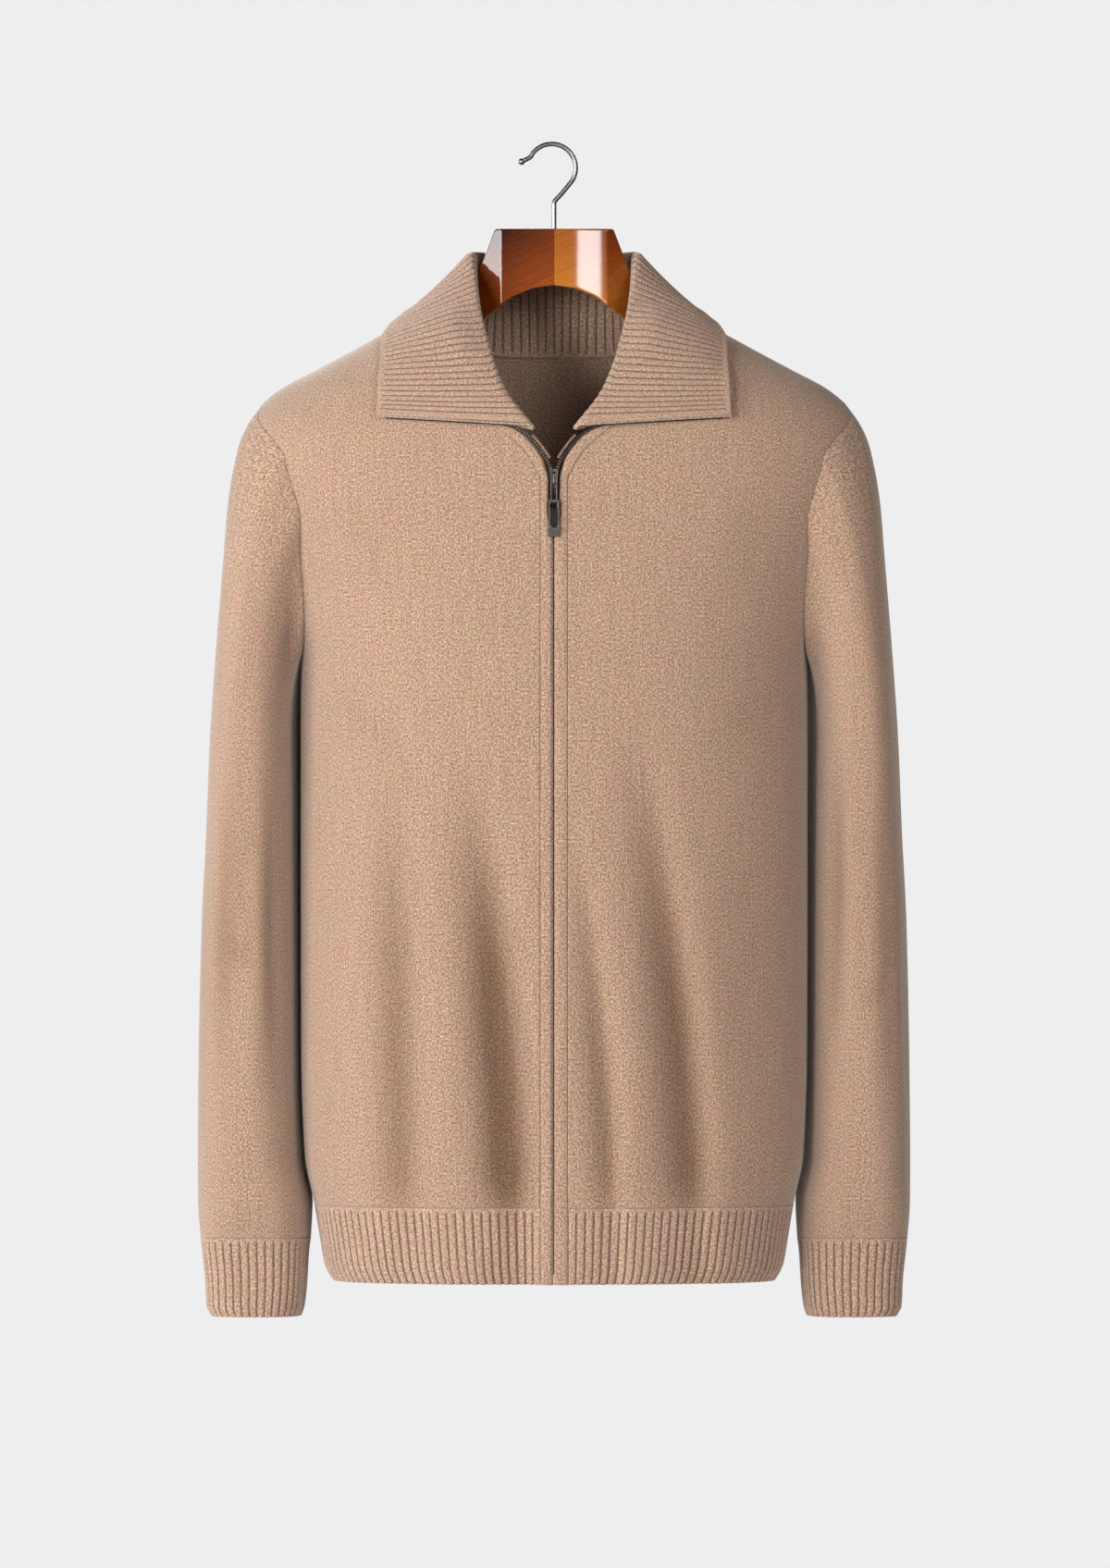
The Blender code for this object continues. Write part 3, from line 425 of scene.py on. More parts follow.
# The sleeves' level sections: outer and inner side, half depth, and the middle of that depth
SLEEVE = [
    (-0.8475, 0.2479, 0.1850, 0.0285, 0.004),
    (-0.8400, 0.2519, 0.1825, 0.0300, 0.004),
    (-0.8200, 0.2528, 0.1805, 0.0310, 0.004),
    (-0.8000, 0.2550, 0.1795, 0.0330, 0.004),
    (-0.7900, 0.2560, 0.1785, 0.0360, 0.004),
    (-0.7650, 0.2578, 0.1780, 0.0430, 0.003),
    (-0.7300, 0.2580, 0.1843, 0.0470, 0.003),
    (-0.6600, 0.2575, 0.1862, 0.0520, 0.002),
    (-0.5639, 0.2553, 0.1868, 0.0580, 0.002),
    (-0.4969, 0.2519, 0.1872, 0.0620, 0.003),
    (-0.4299, 0.2492, 0.1880, 0.0660, 0.004),
    (-0.3629, 0.2446, 0.1890, 0.0700, 0.005),
    (-0.2959, 0.2392, 0.1850, 0.0710, 0.005),
    (-0.2624, 0.2365, 0.1800, 0.0690, 0.004),
    (-0.2423, 0.2338, 0.1750, 0.0660, 0.004),
    (-0.2289, 0.2311, 0.1710, 0.0620, 0.003),
    (-0.2155, 0.2278, 0.1660, 0.0560, 0.002),
    (-0.2021, 0.2218, 0.1600, 0.0480, 0.001),
    (-0.1860, 0.2105, 0.1500, 0.0300, 0.000),
]
SLEEVE_POWER = {FRONT: 2.8, BACK: 2.3}
# How far the sections' inner side leans outwards at the front, and in behind the body at the back
SLEEVE_TUCK = {FRONT: 0.10, BACK: 0.30}
SLEEVE_LEVEL, CUFF_SEAM = -0.4300, -0.7900
ARMHOLE_FADE = 2.2  # how fast a sleeve leaves the armhole's own outline
# Folds in the hanging cloth: side of the garment, top and foot as x and height, half width, how far
# they draw the cloth in, and whether they die away at the foot or run on through the hem
FOLDS = [
    (FRONT, -0.062, -0.420, -0.025, -0.822, 0.0185, 0.0150, "runs on"),
    (FRONT, -0.116, -0.400, -0.104, -0.822, 0.0170, 0.0072, "runs on"),
    (FRONT, 0.052, -0.380, 0.104, -0.822, 0.0180, 0.0108, "runs on"),
    (FRONT, 0.014, -0.470, 0.044, -0.822, 0.0105, 0.0072, "runs on"),
    (FRONT, -0.078, -0.560, -0.074, -0.800, 0.014, -0.0012, "dies"),
    (FRONT, 0.056, -0.560, 0.064, -0.800, 0.012, -0.0010, "dies"),
    (FRONT, 0.128, -0.470, 0.136, -0.780, 0.018, 0.0022, "dies"),
    (FRONT, -0.166, -0.385, -0.098, -0.470, 0.012, 0.0018, "dies"),
    (FRONT, 0.168, -0.380, 0.104, -0.452, 0.011, 0.0015, "dies"),
    (FRONT, -0.150, -0.245, -0.118, -0.345, 0.016, 0.0013, "dies"),
    (FRONT, 0.152, -0.250, 0.126, -0.335, 0.014, 0.0012, "dies"),
    (BACK, 0.055, -0.420, 0.072, -0.822, 0.024, 0.0070, "runs on"),
    (BACK, -0.020, -0.560, -0.034, -0.822, 0.018, 0.0050, "runs on"),
    (BACK, -0.100, -0.380, -0.092, -0.760, 0.022, 0.0055, "runs on"),
    (BACK, 0.015, -0.520, 0.022, -0.800, 0.016, -0.0014, "dies"),
    (BACK, 0.132, -0.460, 0.138, -0.770, 0.017, 0.0024, "dies"),
    (BACK, -0.090, -0.246, 0.070, -0.258, 0.014, 0.0016, "dies"),
    (BACK, 0.164, -0.384, 0.096, -0.476, 0.013, 0.0020, "dies"),
    (BACK, -0.166, -0.380, -0.106, -0.452, 0.012, 0.0017, "dies"),
]
FOLD_SWELL = 1.7  # how fast a fold that runs on reaches its full depth
FOLD_LEANS = (0.74, 1.45)  # such a fold is gentle on its left and steeper on its right
# The rib at the foot draws the cloth flatter: how much, from what height, and over what length
FLATTENED, FLAT_FROM, FLAT_OVER = 0.6, -0.735, 0.050
DEEP_FOLD = 0.012  # a fold this deep gets the full painted shade in the cloth's colour
CLOTH = 0.0025  # thickness of the plain knit
NECK_SHARE = 0.40  # of a half panel's width that runs up to the neck
SEAM_GAP = 0.00006
WALE, COURSE = 0.0019, 0.0015  # one stitch, across and along
WOOL_DARK, WOOL_MID, WOOL_LIGHT = (0.160, 0.090, 0.056), (0.305, 0.192, 0.134), (0.515, 0.368, 0.280)
# Broad faint patches in the wool, from pinker to greener
WOOL_TINTS = [(0.36, (1.0, 0.955, 0.965)), (0.50, (0.97, 0.97, 0.965)), (0.64, (0.955, 0.985, 0.92))]


def along(rows, column, place):
    """A table's column at any place, by a smooth curve that never overshoots its rows."""
    rows = np.array(sorted(rows), float)
    at, value = rows[:, 0], rows[:, column]
    step = np.diff(at)
    rise = np.diff(value) / step
    same = rise[:-1] * rise[1:] > 0
    total = np.where(same, rise[:-1] + rise[1:], 1.0)
    turn = np.where(same, 2 * rise[:-1] * rise[1:] / total, 0.0)
    slope = np.concatenate([rise[:1], turn, rise[-1:]])
    i = np.clip(np.searchsorted(at, place, side="right") - 1, 0, len(step) - 1)
    t = np.clip((place - at[i]) / step[i], 0, 1)
    start = value[i] * (1 + 2 * t) * (1 - t) ** 2 + step[i] * slope[i] * t * (1 - t) ** 2
    return start + value[i + 1] * t * t * (3 - 2 * t) - step[i] * slope[i + 1] * t * t * (1 - t)


def half_width(z):
    return along(BODY, 1, z)


def reach_of(z, face):
    return along(BODY, 2 if face == FRONT else 3, z)


def eased(share):
    """0 up to a share of 0 and 1 from a share of 1, with a soft rise between."""
    return np.sin(np.pi / 2 * np.clip(share, 0, 1)) ** 2


def drawn_in(x, z, face, shade=False):
    """How far the folds on this side draw the cloth in; with shade set, the painted shade that they put into
    the cloth's colour instead.
    """
    total = np.zeros(np.broadcast(x, z).shape)
    for side, top_x, top_z, foot_x, foot_z, width, depth, foot in FOLDS:
        if side != face:
            continue
        if foot == "runs on":
            run = np.clip((top_z - z) / (top_z - foot_z), 0, 1)
            aside = x - (top_x + (foot_x - top_x) * np.sin(np.pi / 2 * run))
            swell = eased(run * FOLD_SWELL) * (1 - FLATTENED * eased((FLAT_FROM - z) / FLAT_OVER))
        else:
            length = math.hypot(foot_x - top_x, foot_z - top_z)
            way_x, way_z = (foot_x - top_x) / length, (foot_z - top_z) / length
            run = ((x - top_x) * way_x + (z - top_z) * way_z) / length
            aside = (x - top_x) * way_z - (z - top_z) * way_x
            swell = np.sin(np.pi * np.clip(run, 0, 1) ** 0.8) ** 2
        # Painted shade, strongest a little left of a fold's middle on its left flank, and full for a fold
        # DEEP_FOLD deep
        if shade:
            total = total + max(depth, 0) / DEEP_FOLD * swell * np.exp(-((aside / width + 0.35) ** 2) * 1.3)
        else:
            lean = np.where(aside < 0, *FOLD_LEANS) if foot == "runs on" else 1.0
            total = total + depth * swell * np.exp(-((aside / width * lean) ** 2))
    return total


def fullness(x, z):
    share = np.clip(np.abs(x) / half_width(z), 0, 1)
    return (1 - share**SIDE_POWER) ** (1 / DEPTH_POWER)


def skin(x, z, face):
    """Points of the garment's outer surface at x and height z, on its front or back."""
    full = fullness(x, z)
    y = face * full * (reach_of(z, face) - drawn_in(x, z, face) * np.clip(full * 1.4, 0, 1))
    return np.stack(np.broadcast_arrays(x, y, z), axis=-1)


def level(points):
    """1 on the smooth form, less inside it and more outside."""
    x, y, z = np.abs(points[..., 0]), points[..., 1], points[..., 2]
    reach = np.where(y < 0, reach_of(z, FRONT), reach_of(z, BACK))
    return (x / half_width(z)) ** SIDE_POWER + (np.abs(y) / reach) ** DEPTH_POWER


def level_slope(points, small=1e-4):
    parts = [level(points + small * axis) - level(points - small * axis) for axis in np.eye(3)]
    slope = np.stack(parts, axis=-1) / (2 * small)
    slope[..., 1] = np.where(np.abs(points[..., 1]) < small, 0, slope[..., 1])
    return slope


def outward(points):
    """Unit normals of the smooth form."""
    return unit(level_slope(points))


def armhole_side():
    """One side of the armhole from the underarm up to the shoulder tip, as x and z."""
    v = (1 - np.cos(np.pi * np.linspace(0, 1, YOKE_ROWS + 1))) / 2
    z = UNDERARM + (SHOULDER_TIP - UNDERARM) * v
    return half_width(z) * along(ARMHOLE, 1, z), z


def armhole_loop():
    """The left armhole: from the shoulder tip down the front edge to the underarm and up the back."""
    x, z = armhole_side()
    return np.concatenate([skin(x, z, FRONT)[::-1], skin(x, z, BACK)[1:-1]])


def sleeve_point(angle, z):
    """The left sleeve's level section at an angle from its outer edge, round by the front."""
    outer, inner = along(SLEEVE, 1, z), along(SLEEVE, 2, z)
    across, deep = np.cos(angle), np.sin(angle)
    power = np.where(deep > 0, SLEEVE_POWER[FRONT], SLEEVE_POWER[BACK])
    tuck = np.where(deep > 0, SLEEVE_TUCK[FRONT], SLEEVE_TUCK[BACK])
    half = (outer - inner) / 2
    x = (outer + inner) / 2 + half * np.sign(across) * np.abs(across) ** (2 / power)
    reach = along(SLEEVE, 3, z) * np.sign(deep) * np.abs(deep) ** (2 / power)
    x = x + tuck * reach * (1 - across) / 2
    return np.stack(np.broadcast_arrays(x, along(SLEEVE, 4, z) - reach, z), axis=-1)


def sleeve_grid():
    loop = armhole_loop()
    angle = np.linspace(0, 2 * np.pi, len(loop), endpoint=False)
    share = np.linspace(0, 1, SLEEVE_ROWS + 1)[:, None]
    share = 0.4 * share + 0.6 * share**1.6
    z = loop[:, 2] + (CUFF_SEAM - loop[:, 2]) * share
    fade = (1 - np.clip((loop[:, 2] - z) / (loop[:, 2] - SLEEVE_LEVEL), 0, 1)) ** ARMHOLE_FADE
    start = loop - sleeve_point(angle, loop[:, 2])
    return sleeve_point(angle, z) + start * fade[..., None]


def ring_normals(points):
    """Outward normals of a closed ring grid, from its neighbours."""
    around = np.roll(points, -1, axis=1) - np.roll(points, 1, axis=1)
    normals = unit(np.cross(around, np.gradient(points, axis=0)))
    centre = points.mean(axis=1, keepdims=True)
    return normals * np.sign(np.sum(normals * (points - centre)))


def through_sleeve(angle, z):
    """Directions through a sleeve's smooth form, all round at one height."""
    rows = np.array([z + 0.004, z, z - 0.004])[:, None]
    return -ring_normals(sleeve_point(angle, rows))[1]


def through_armhole():
    """Directions through both cloths round the left armhole, halfway between their own."""
    sleeve = ring_normals(sleeve_grid())[0]
    sleeve[[0, YOKE_ROWS], 1] = 0
    return -unit(outward(armhole_loop()) + sleeve)


def through_panel(x, z, face, side):
    """Directions through a half panel's cloth. Near the armhole they turn to the seam's own."""
    into = -outward(skin(x, z, face))
    seam = through_armhole()
    edge = seam[: YOKE_ROWS + 1][::-1] if face == FRONT else np.concatenate([seam[YOKE_ROWS:], seam[:1]])
    share = np.clip(1 - np.arange(x.shape[1])[::-1] / TURN_COLUMNS, 0, 1) ** 1.5
    yoke = into[LOWER_ROWS:]
    into[LOWER_ROWS:] = unit(yoke * (1 - share[:, None]) + edge[:, None] * share[:, None])
    return into * (side, 1, 1)


def panel_lines(face, inner_edge, foot_columns, top_line, lower_rows, yoke_rows):
    """A half panel's grid as x and z, from its inner edge out to the side.

    foot_columns says how the columns share the width. top_line gives the x and z where they end at
    the neck and shoulder, and inner_edge gives x at each height of the panel's inner edge.
    """
    s = foot_columns

    def level_row(z):
        width = half_width(z)
        flat = np.linspace(inner_edge(z), width * 0.9, 60)
        turning = width * (1 - 0.1 * np.linspace(1, 0, 60)[1:] ** 3)
        dense = np.concatenate([flat, turning])
        run = run_along(skin(dense, np.full(dense.shape, z), face))
        return np.interp(s * run[-1], run, dense)

    lower_z = np.linspace(HEM_SEAM, UNDERARM, lower_rows + 1)
    lower_x = np.array([level_row(z) for z in lower_z])
    v = (1 - np.cos(np.pi * np.linspace(0, 1, yoke_rows + 1)))[:, None] / 2
    side_z = UNDERARM + (SHOULDER_TIP - UNDERARM) * v
    side_x = half_width(side_z) * along(ARMHOLE, 1, side_z)
    top_x, top_z = top_line
    inner_z = UNDERARM + (top_z[0] - UNDERARM) * v
    inner_x = inner_edge(inner_z)

    def filled(inner, side, foot, top):
        across = (1 - s) * inner + s * side
        up = (1 - v) * foot + v * top
        corners = (1 - v) * ((1 - s) * foot[0] + s * foot[-1]) + v * ((1 - s) * top[0] + s * top[-1])
        return across + up - corners

    upper_x = filled(inner_x, side_x, lower_x[-1], top_x)
    upper_z = filled(inner_z, side_z, np.full(s.shape, UNDERARM), top_z)
    x = np.concatenate([lower_x, upper_x[1:]])
    z = np.concatenate([np.repeat(lower_z[:, None], len(s), axis=1), upper_z[1:]])
    return x, z


def shares(neck_columns, shoulder_columns):
    """How a half panel's columns share its width, and where they end along the shoulder."""
    neck = np.linspace(0, NECK_SHARE, neck_columns + 1)[:-1]
    return np.concatenate([neck, np.linspace(NECK_SHARE, 1, shoulder_columns + 1)])


def cloth_map(points, face):
    """Where the knitted stitches lie on a panel: across and along it, in metres."""
    x, z = points[..., 0], points[..., 2]
    reach = reach_of(z, face)
    across = np.abs(x) + 0.8 * reach * (1 - fullness(x, z))
    return np.stack([np.sign(x) * across, z + 0.8 * (0.11 - reach)], axis=-1)


def stretched(values, first, last):
    """Grid values with a row put in close to the first and last rows, at these shares of the way."""
    near_first = values[:1] + (values[1:2] - values[:1]) * first
    near_last = values[-1:] + (values[-2:-1] - values[-1:]) * last
    return np.concatenate([values[:1], near_first, values[1:-1], near_last, values[-1:]])


def rims(first_row, last_row, first_column=None, last_column=None):
    """The rims of a shell of cloth, each as its radius and how far it is drawn back."""
    edges = {"first_row": first_row, "last_row": last_row}
    if first_column:
        edges.update(first_column=first_column, last_column=last_column)
    return edges


def cloth_shell(outer, into, thickness, edges, ring=False, places=None, relief=None, shade=None, rim_turns=3):
    """A closed shell of cloth with rounded rims, from a grid of outer points and the unit
    directions through the cloth. relief is how far each face sinks, as in the grooves of a rib, and
    shade is the painted shade of folds; with the grooves' depth it goes into the groove attribute,
    by which the finish paints shade into the colour."""
    rows, columns = outer.shape[:2]
    relief = np.zeros((rows, columns)) if relief is None else relief
    shade = np.zeros((rows, columns)) if shade is None else shade
    if places is None:
        places = np.zeros((rows, columns + ring, 2))
    sides = {
        "first_row": ((0, slice(None)), (1, slice(None))),
        "last_row": ((-1, slice(None)), (-2, slice(None))),
        "first_column": ((slice(None), 0), (slice(None), 1)),
        "last_column": ((slice(None), -1), (slice(None), -2)),
    }
    moved, row_bulge, column_bulge = outer.copy(), np.zeros_like(outer), np.zeros_like(outer)
    for side, (rim, back) in edges.items():
        edge, inside = sides[side]
        line = outer[edge]
        way = np.roll(line, -1, axis=0) - np.roll(line, 1, axis=0) if ring else np.gradient(line, axis=0)
        away = unit(np.cross(way, into[edge]))
        away = away * np.sign(np.sum(away * (line - outer[inside]), axis=-1, keepdims=True))
        moved[edge] -= away * (rim + back)
        (row_bulge if side.endswith("row") else column_bulge)[edge] += away * rim
    hold = 1.3 * max(rim for rim, back in edges.values()) + 0.0004

    def held(grid, values):
        first = min(0.5, hold / np.linalg.norm(grid[1] - grid[0], axis=-1).mean())
        last = min(0.5, hold / np.linalg.norm(grid[-2] - grid[-1], axis=-1).mean())
        return stretched(values, first, last)

    def only_edges(values):
        return np.concatenate([values[:1], 0 * values[:1], values[1:-1], 0 * values[:1], values[-1:]])

    grids = [moved, into, places, relief[..., None], shade[..., None], column_bulge]
    grids = [held(moved, values) for values in grids] + [only_edges(row_bulge)]
    if not ring:
        *turned, column_bulge, row_bulge = (values.swapaxes(0, 1) for values in grids)
        grids = [held(turned[0], values) for values in turned]
        grids += [only_edges(column_bulge), held(turned[0], row_bulge)]
        grids = [values.swapaxes(0, 1) for values in grids]
    points, into, places, relief, shade, column_bulge, row_bulge = grids
    bulge = row_bulge + column_bulge
    into = unit(into)
    rows, columns = points.shape[:2]
    top, bottom = points + into * relief, points + into * (thickness - relief)
    index = np.arange(rows * columns).reshape(rows, columns)
    place_index = np.arange(rows * (columns + ring)).reshape(rows, columns + ring)
    wide = np.concatenate([index, index[:, :1]], axis=1) if ring else index

    def cells(grid):
        return np.stack([grid[:-1, :-1], grid[:-1, 1:], grid[1:, 1:], grid[1:, :-1]], axis=-1).reshape(-1, 4)

    top_quads, top_places = cells(wide), cells(place_index)
    a, b, c = (top.reshape(-1, 3)[top_quads[:, k]] for k in range(3))
    facing = np.sum(np.cross(b - a, c - b) * into.reshape(-1, 3)[top_quads[:, 0]])
    if facing > 0:
        top_quads, top_places = top_quads[:, ::-1], top_places[:, ::-1]
    quads = [top_quads, top_quads[:, ::-1] + rows * columns]
    quad_places = [top_places, top_places[:, ::-1]]
    if ring:
        loops = [(wide[0], place_index[0]), (wide[-1][::-1], place_index[-1][::-1])]
    else:
        out, down, back = slice(None), slice(1, None), slice(-2, None, -1)
        way_round = [(0, out), (down, -1), (-1, back), (back, 0)]
        loops = [[np.concatenate([grid[side] for side in way_round]) for grid in (index, place_index)]]
    all_points = [top.reshape(-1, 3), bottom.reshape(-1, 3)]
    # Groove depth as a share of the deepest, plus the painted shade of folds, for the groove attribute
    sunk = [np.clip(relief.ravel() / max(relief.max(), 1e-9) + shade.ravel(), 0, 1)] * 2
    count = 2 * rows * columns
    for loop, loop_places in loops:
        ring_loop = loop[:-1]
        middle = (points + into * thickness / 2).reshape(-1, 3)[ring_loop]
        half = (thickness / 2 - relief).reshape(-1, 1)[ring_loop] * into.reshape(-1, 3)[ring_loop]
        out = bulge.reshape(-1, 3)[ring_loop]
        chain = [ring_loop]
        for turn in range(1, rim_turns + 1):
            angle = np.pi * turn / (rim_turns + 1)
            all_points.append(middle - half * math.cos(angle) + out * math.sin(angle))
            sunk.append(sunk[0][ring_loop])
            chain.append(np.arange(count, count + len(ring_loop)))
            count += len(ring_loop)
        chain.append(ring_loop + rows * columns)
        for one, two in zip(chain, chain[1:]):
            rim_quads = np.stack([one, two, np.roll(two, -1), np.roll(one, -1)], axis=-1)
            corners = np.stack([loop_places[:-1]] * 2 + [loop_places[1:]] * 2, axis=-1)
            quads.append(rim_quads if facing <= 0 else rim_quads[:, ::-1])
            quad_places.append(corners if facing <= 0 else corners[:, ::-1])
    places = places.reshape(-1, 2)
    return {
        "points": np.concatenate(all_points),
        "quads": np.concatenate(quads),
        "places": places[np.concatenate(quad_places)],
        "relief": np.concatenate(sunk),
    }


def cloth_place(tree):
    """A point's place on its piece's cloth map, whole and as its two measures in metres."""
    place = add_node(tree, "ShaderNodeUVMap", {}, uv_map="cloth").outputs[0]
    return place, *list(add_node(tree, "ShaderNodeSeparateXYZ", {0: place}).outputs)[:2]


def drawn_out(tree, u, v, share):
    """The same place, with its length along the cloth counted at that share."""
    return add_node(tree, "ShaderNodeCombineXYZ", {0: u, 1: sum_of(tree, "MULTIPLY", v, share)}).outputs[0]


def wool_finish(name, painted_shade_tones):
    """Heathered wool: dark, middle and light fibres carded together, faint wales, and a soft nap.
    Its last argument gives the painted light in its colour, from the tops to the bottom of grooves and folds:
    painted shade in the depths, and a painted highlight where a tone is above 1."""
    material, tree, shader = new_finish(name)
    place, u, v = cloth_place(tree)
    flecks = noise_of(tree, drawn_out(tree, u, v, 0.85), 720.0, 3.0, 0.70)
    streaks = noise_of(tree, drawn_out(tree, u, v, 0.06), 420.0, 2.0)
    clouds = noise_of(tree, place, 42.0, 3.0, 0.6)
    mixed = sum_of(tree, "MULTIPLY_ADD", sum_of(tree, "SUBTRACT", streaks, 0.5), 0.10, flecks)
    yarn = tones(tree, mixed, [(0.36, WOOL_DARK), (0.50, WOOL_MID), (0.66, WOOL_LIGHT)])
    tint = tones(tree, clouds, WOOL_TINTS)
    # Painted shade: the colour darkens by the groove attribute towards the bottom of grooves and folds
    colour = tinted(tree, tinted(tree, yarn, tint), tones(tree, groove_depth_and_painted_shade(tree), painted_shade_tones))
    # Each stitch is a V: two legs that lean together in the middle of their wale
    leg = sum_of(tree, "FRACT", sum_of(tree, "DIVIDE", u, WALE))
    leg = sum_of(tree, "MULTIPLY", sum_of(tree, "ABSOLUTE", sum_of(tree, "SUBTRACT", leg, 0.5)), 2.0)
    turn = sum_of(tree, "MULTIPLY_ADD", v, 2 * math.pi / COURSE, sum_of(tree, "MULTIPLY", leg, 3.6))
    stitch = sum_of(tree, "MULTIPLY_ADD", sum_of(tree, "SINE", turn), 0.25, 0.75)
    round_off = sum_of(tree, "SUBTRACT", 1.0, sum_of(tree, "MULTIPLY", leg, leg))
    stitch = sum_of(tree, "MULTIPLY", stitch, round_off)
    nap = sum_of(tree, "MULTIPLY_ADD", flecks, 0.7, sum_of(tree, "MULTIPLY", stitch, 0.20))
    dress(
        tree,
        shader,
        colour,
        raised(tree, nap, 0.00045, 0.9),
        Roughness=0.92,
        Specular_IOR_Level=0.15,
        Sheen_Weight=0.42,
        Sheen_Roughness=0.55,
        Sheen_Tint=(1.0, 0.94, 0.88, 1.0),
    )
    return material


SEAM = (0.00025, SEAM_GAP / 2)  # a rim where one piece is linked to the next
LINKED_SEAM = (0.0005, SEAM_GAP / 2)  # the armholes, where the seam shows as a soft line
NECK_COLUMNS, SHOULDER_COLUMNS = 20, 28
LOWER_ROWS, YOKE_ROWS, SLEEVE_ROWS = 92, 64, 130
TURN_COLUMNS = 5  # over so many columns a wall turns to its direction at the armhole

# The plain wool's painted shade, down to about half its colour in the deepest folds
wool = wool_finish("heathered_wool", [(0.0, (1.0, 1.0, 1.0)), (1.0, (0.46, 0.39, 0.32))])
shoulder_z = np.linspace(NECK_POINT, SHOULDER_TIP, SHOULDER_COLUMNS + 1)
back_neck_x = np.linspace(0, BACK_NECK[-1][0], NECK_COLUMNS + 1)
back_top = (
    np.concatenate([back_neck_x[:-1], half_width(shoulder_z)]),
    np.concatenate([along(BACK_NECK, 1, back_neck_x)[:-1], shoulder_z]),
)
back_shares = shares(NECK_COLUMNS, SHOULDER_COLUMNS)
back_x, back_z = panel_lines(BACK, lambda z: 0 * z, back_shares, back_top, LOWER_ROWS, YOKE_ROWS)
back_grid = np.concatenate([skin(-back_x, back_z, BACK)[:, :0:-1], skin(back_x, back_z, BACK)], axis=1)
back_into = np.concatenate(
    [through_panel(back_x, back_z, BACK, -1)[:, :0:-1], through_panel(back_x, back_z, BACK, 1)], axis=1
)
back_shell = cloth_shell(
    back_grid,
    back_into,
    CLOTH,
    rims(SEAM, SEAM, SEAM, SEAM),
    places=cloth_map(back_grid, BACK),
    # Painted shade: the cloth's colour darkens along the folds' left flanks
    shade=drawn_in(back_grid[..., 0], back_grid[..., 2], BACK, shade=True),
)
back = add_piece("back_panel", [back_shell], wool)
fit(back, "back")


# ------------------------------------------------------------------------------------- fronts
# The two fronts are cut to the same form. They meet the back at the sides and shoulders, and
# their inner edges run straight up to the slider and then turn out under the collar.

BAND_EDGE = 0.0098  # from the centre line to a front's edge
# That edge at each height: straight up, then turned out where the zip is open
PANEL_EDGE = [
    (-0.8212, 0.0098),
    (-0.2430, 0.0098),
    (-0.2375, 0.0125),
    (-0.2285, 0.0175),
    (-0.2170, 0.0270),
    (-0.2085, 0.0380),
    (-0.2000, 0.0470),
]
TURN_START, TURN_END = -0.2430, -0.2000
FRONT_NECK = [
    (-0.2000, 0.0470),
    (-0.1850, 0.0530),
    (-0.1600, 0.0615),
    (-0.1350, 0.0705),
    (-0.1220, 0.0755),
    (-0.1145, 0.0780),
]
# Shares of the turned edge's height at each fifth of its columns
TURN_SHARES = (0, 0.128, 0.279, 0.442, 0.651, 1)
EDGE_COLUMNS = 14  # along the turned edge, and as many again up the neck


def panel_edge(z):
    return along(PANEL_EDGE, 1, z)


turn_share = np.interp(np.linspace(0, 5, EDGE_COLUMNS + 1), range(6), TURN_SHARES)
turn_z = TURN_START + (TURN_END - TURN_START) * turn_share
neck_z = np.linspace(TURN_END, NECK_POINT, EDGE_COLUMNS + 1)
front_top = (
    np.concatenate([panel_edge(turn_z[:-1]), along(FRONT_NECK, 1, neck_z[:-1]), half_width(shoulder_z)]),
    np.concatenate([turn_z[:-1], neck_z[:-1], shoulder_z]),
)
front_shares = shares(2 * EDGE_COLUMNS, SHOULDER_COLUMNS)
front_x, front_z = panel_lines(FRONT, panel_edge, front_shares, front_top, LOWER_ROWS, YOKE_ROWS)
for side, name in ((1, "left"), (-1, "right")):
    grid = skin(side * front_x, front_z, FRONT)
    shell = cloth_shell(
        grid,
        through_panel(front_x, front_z, FRONT, side),
        CLOTH,
        rims(SEAM, SEAM, LINKED_SEAM, SEAM),
        places=cloth_map(grid, FRONT),
        # Painted shade: the cloth's colour darkens along the folds' left flanks
        shade=drawn_in(grid[..., 0], grid[..., 2], FRONT, shade=True),
    )
    front = add_piece(f"front_panel_{name}", [shell], wool)
    fit(front, f"front_{name}")


# ------------------------------------------------------------------------------------ sleeves
# Each sleeve is a tube of the same stockinette, narrowed towards the wrist and linked into the
# armhole. It hangs beside the body, tucks in behind it, and has a few slack folds of its own.

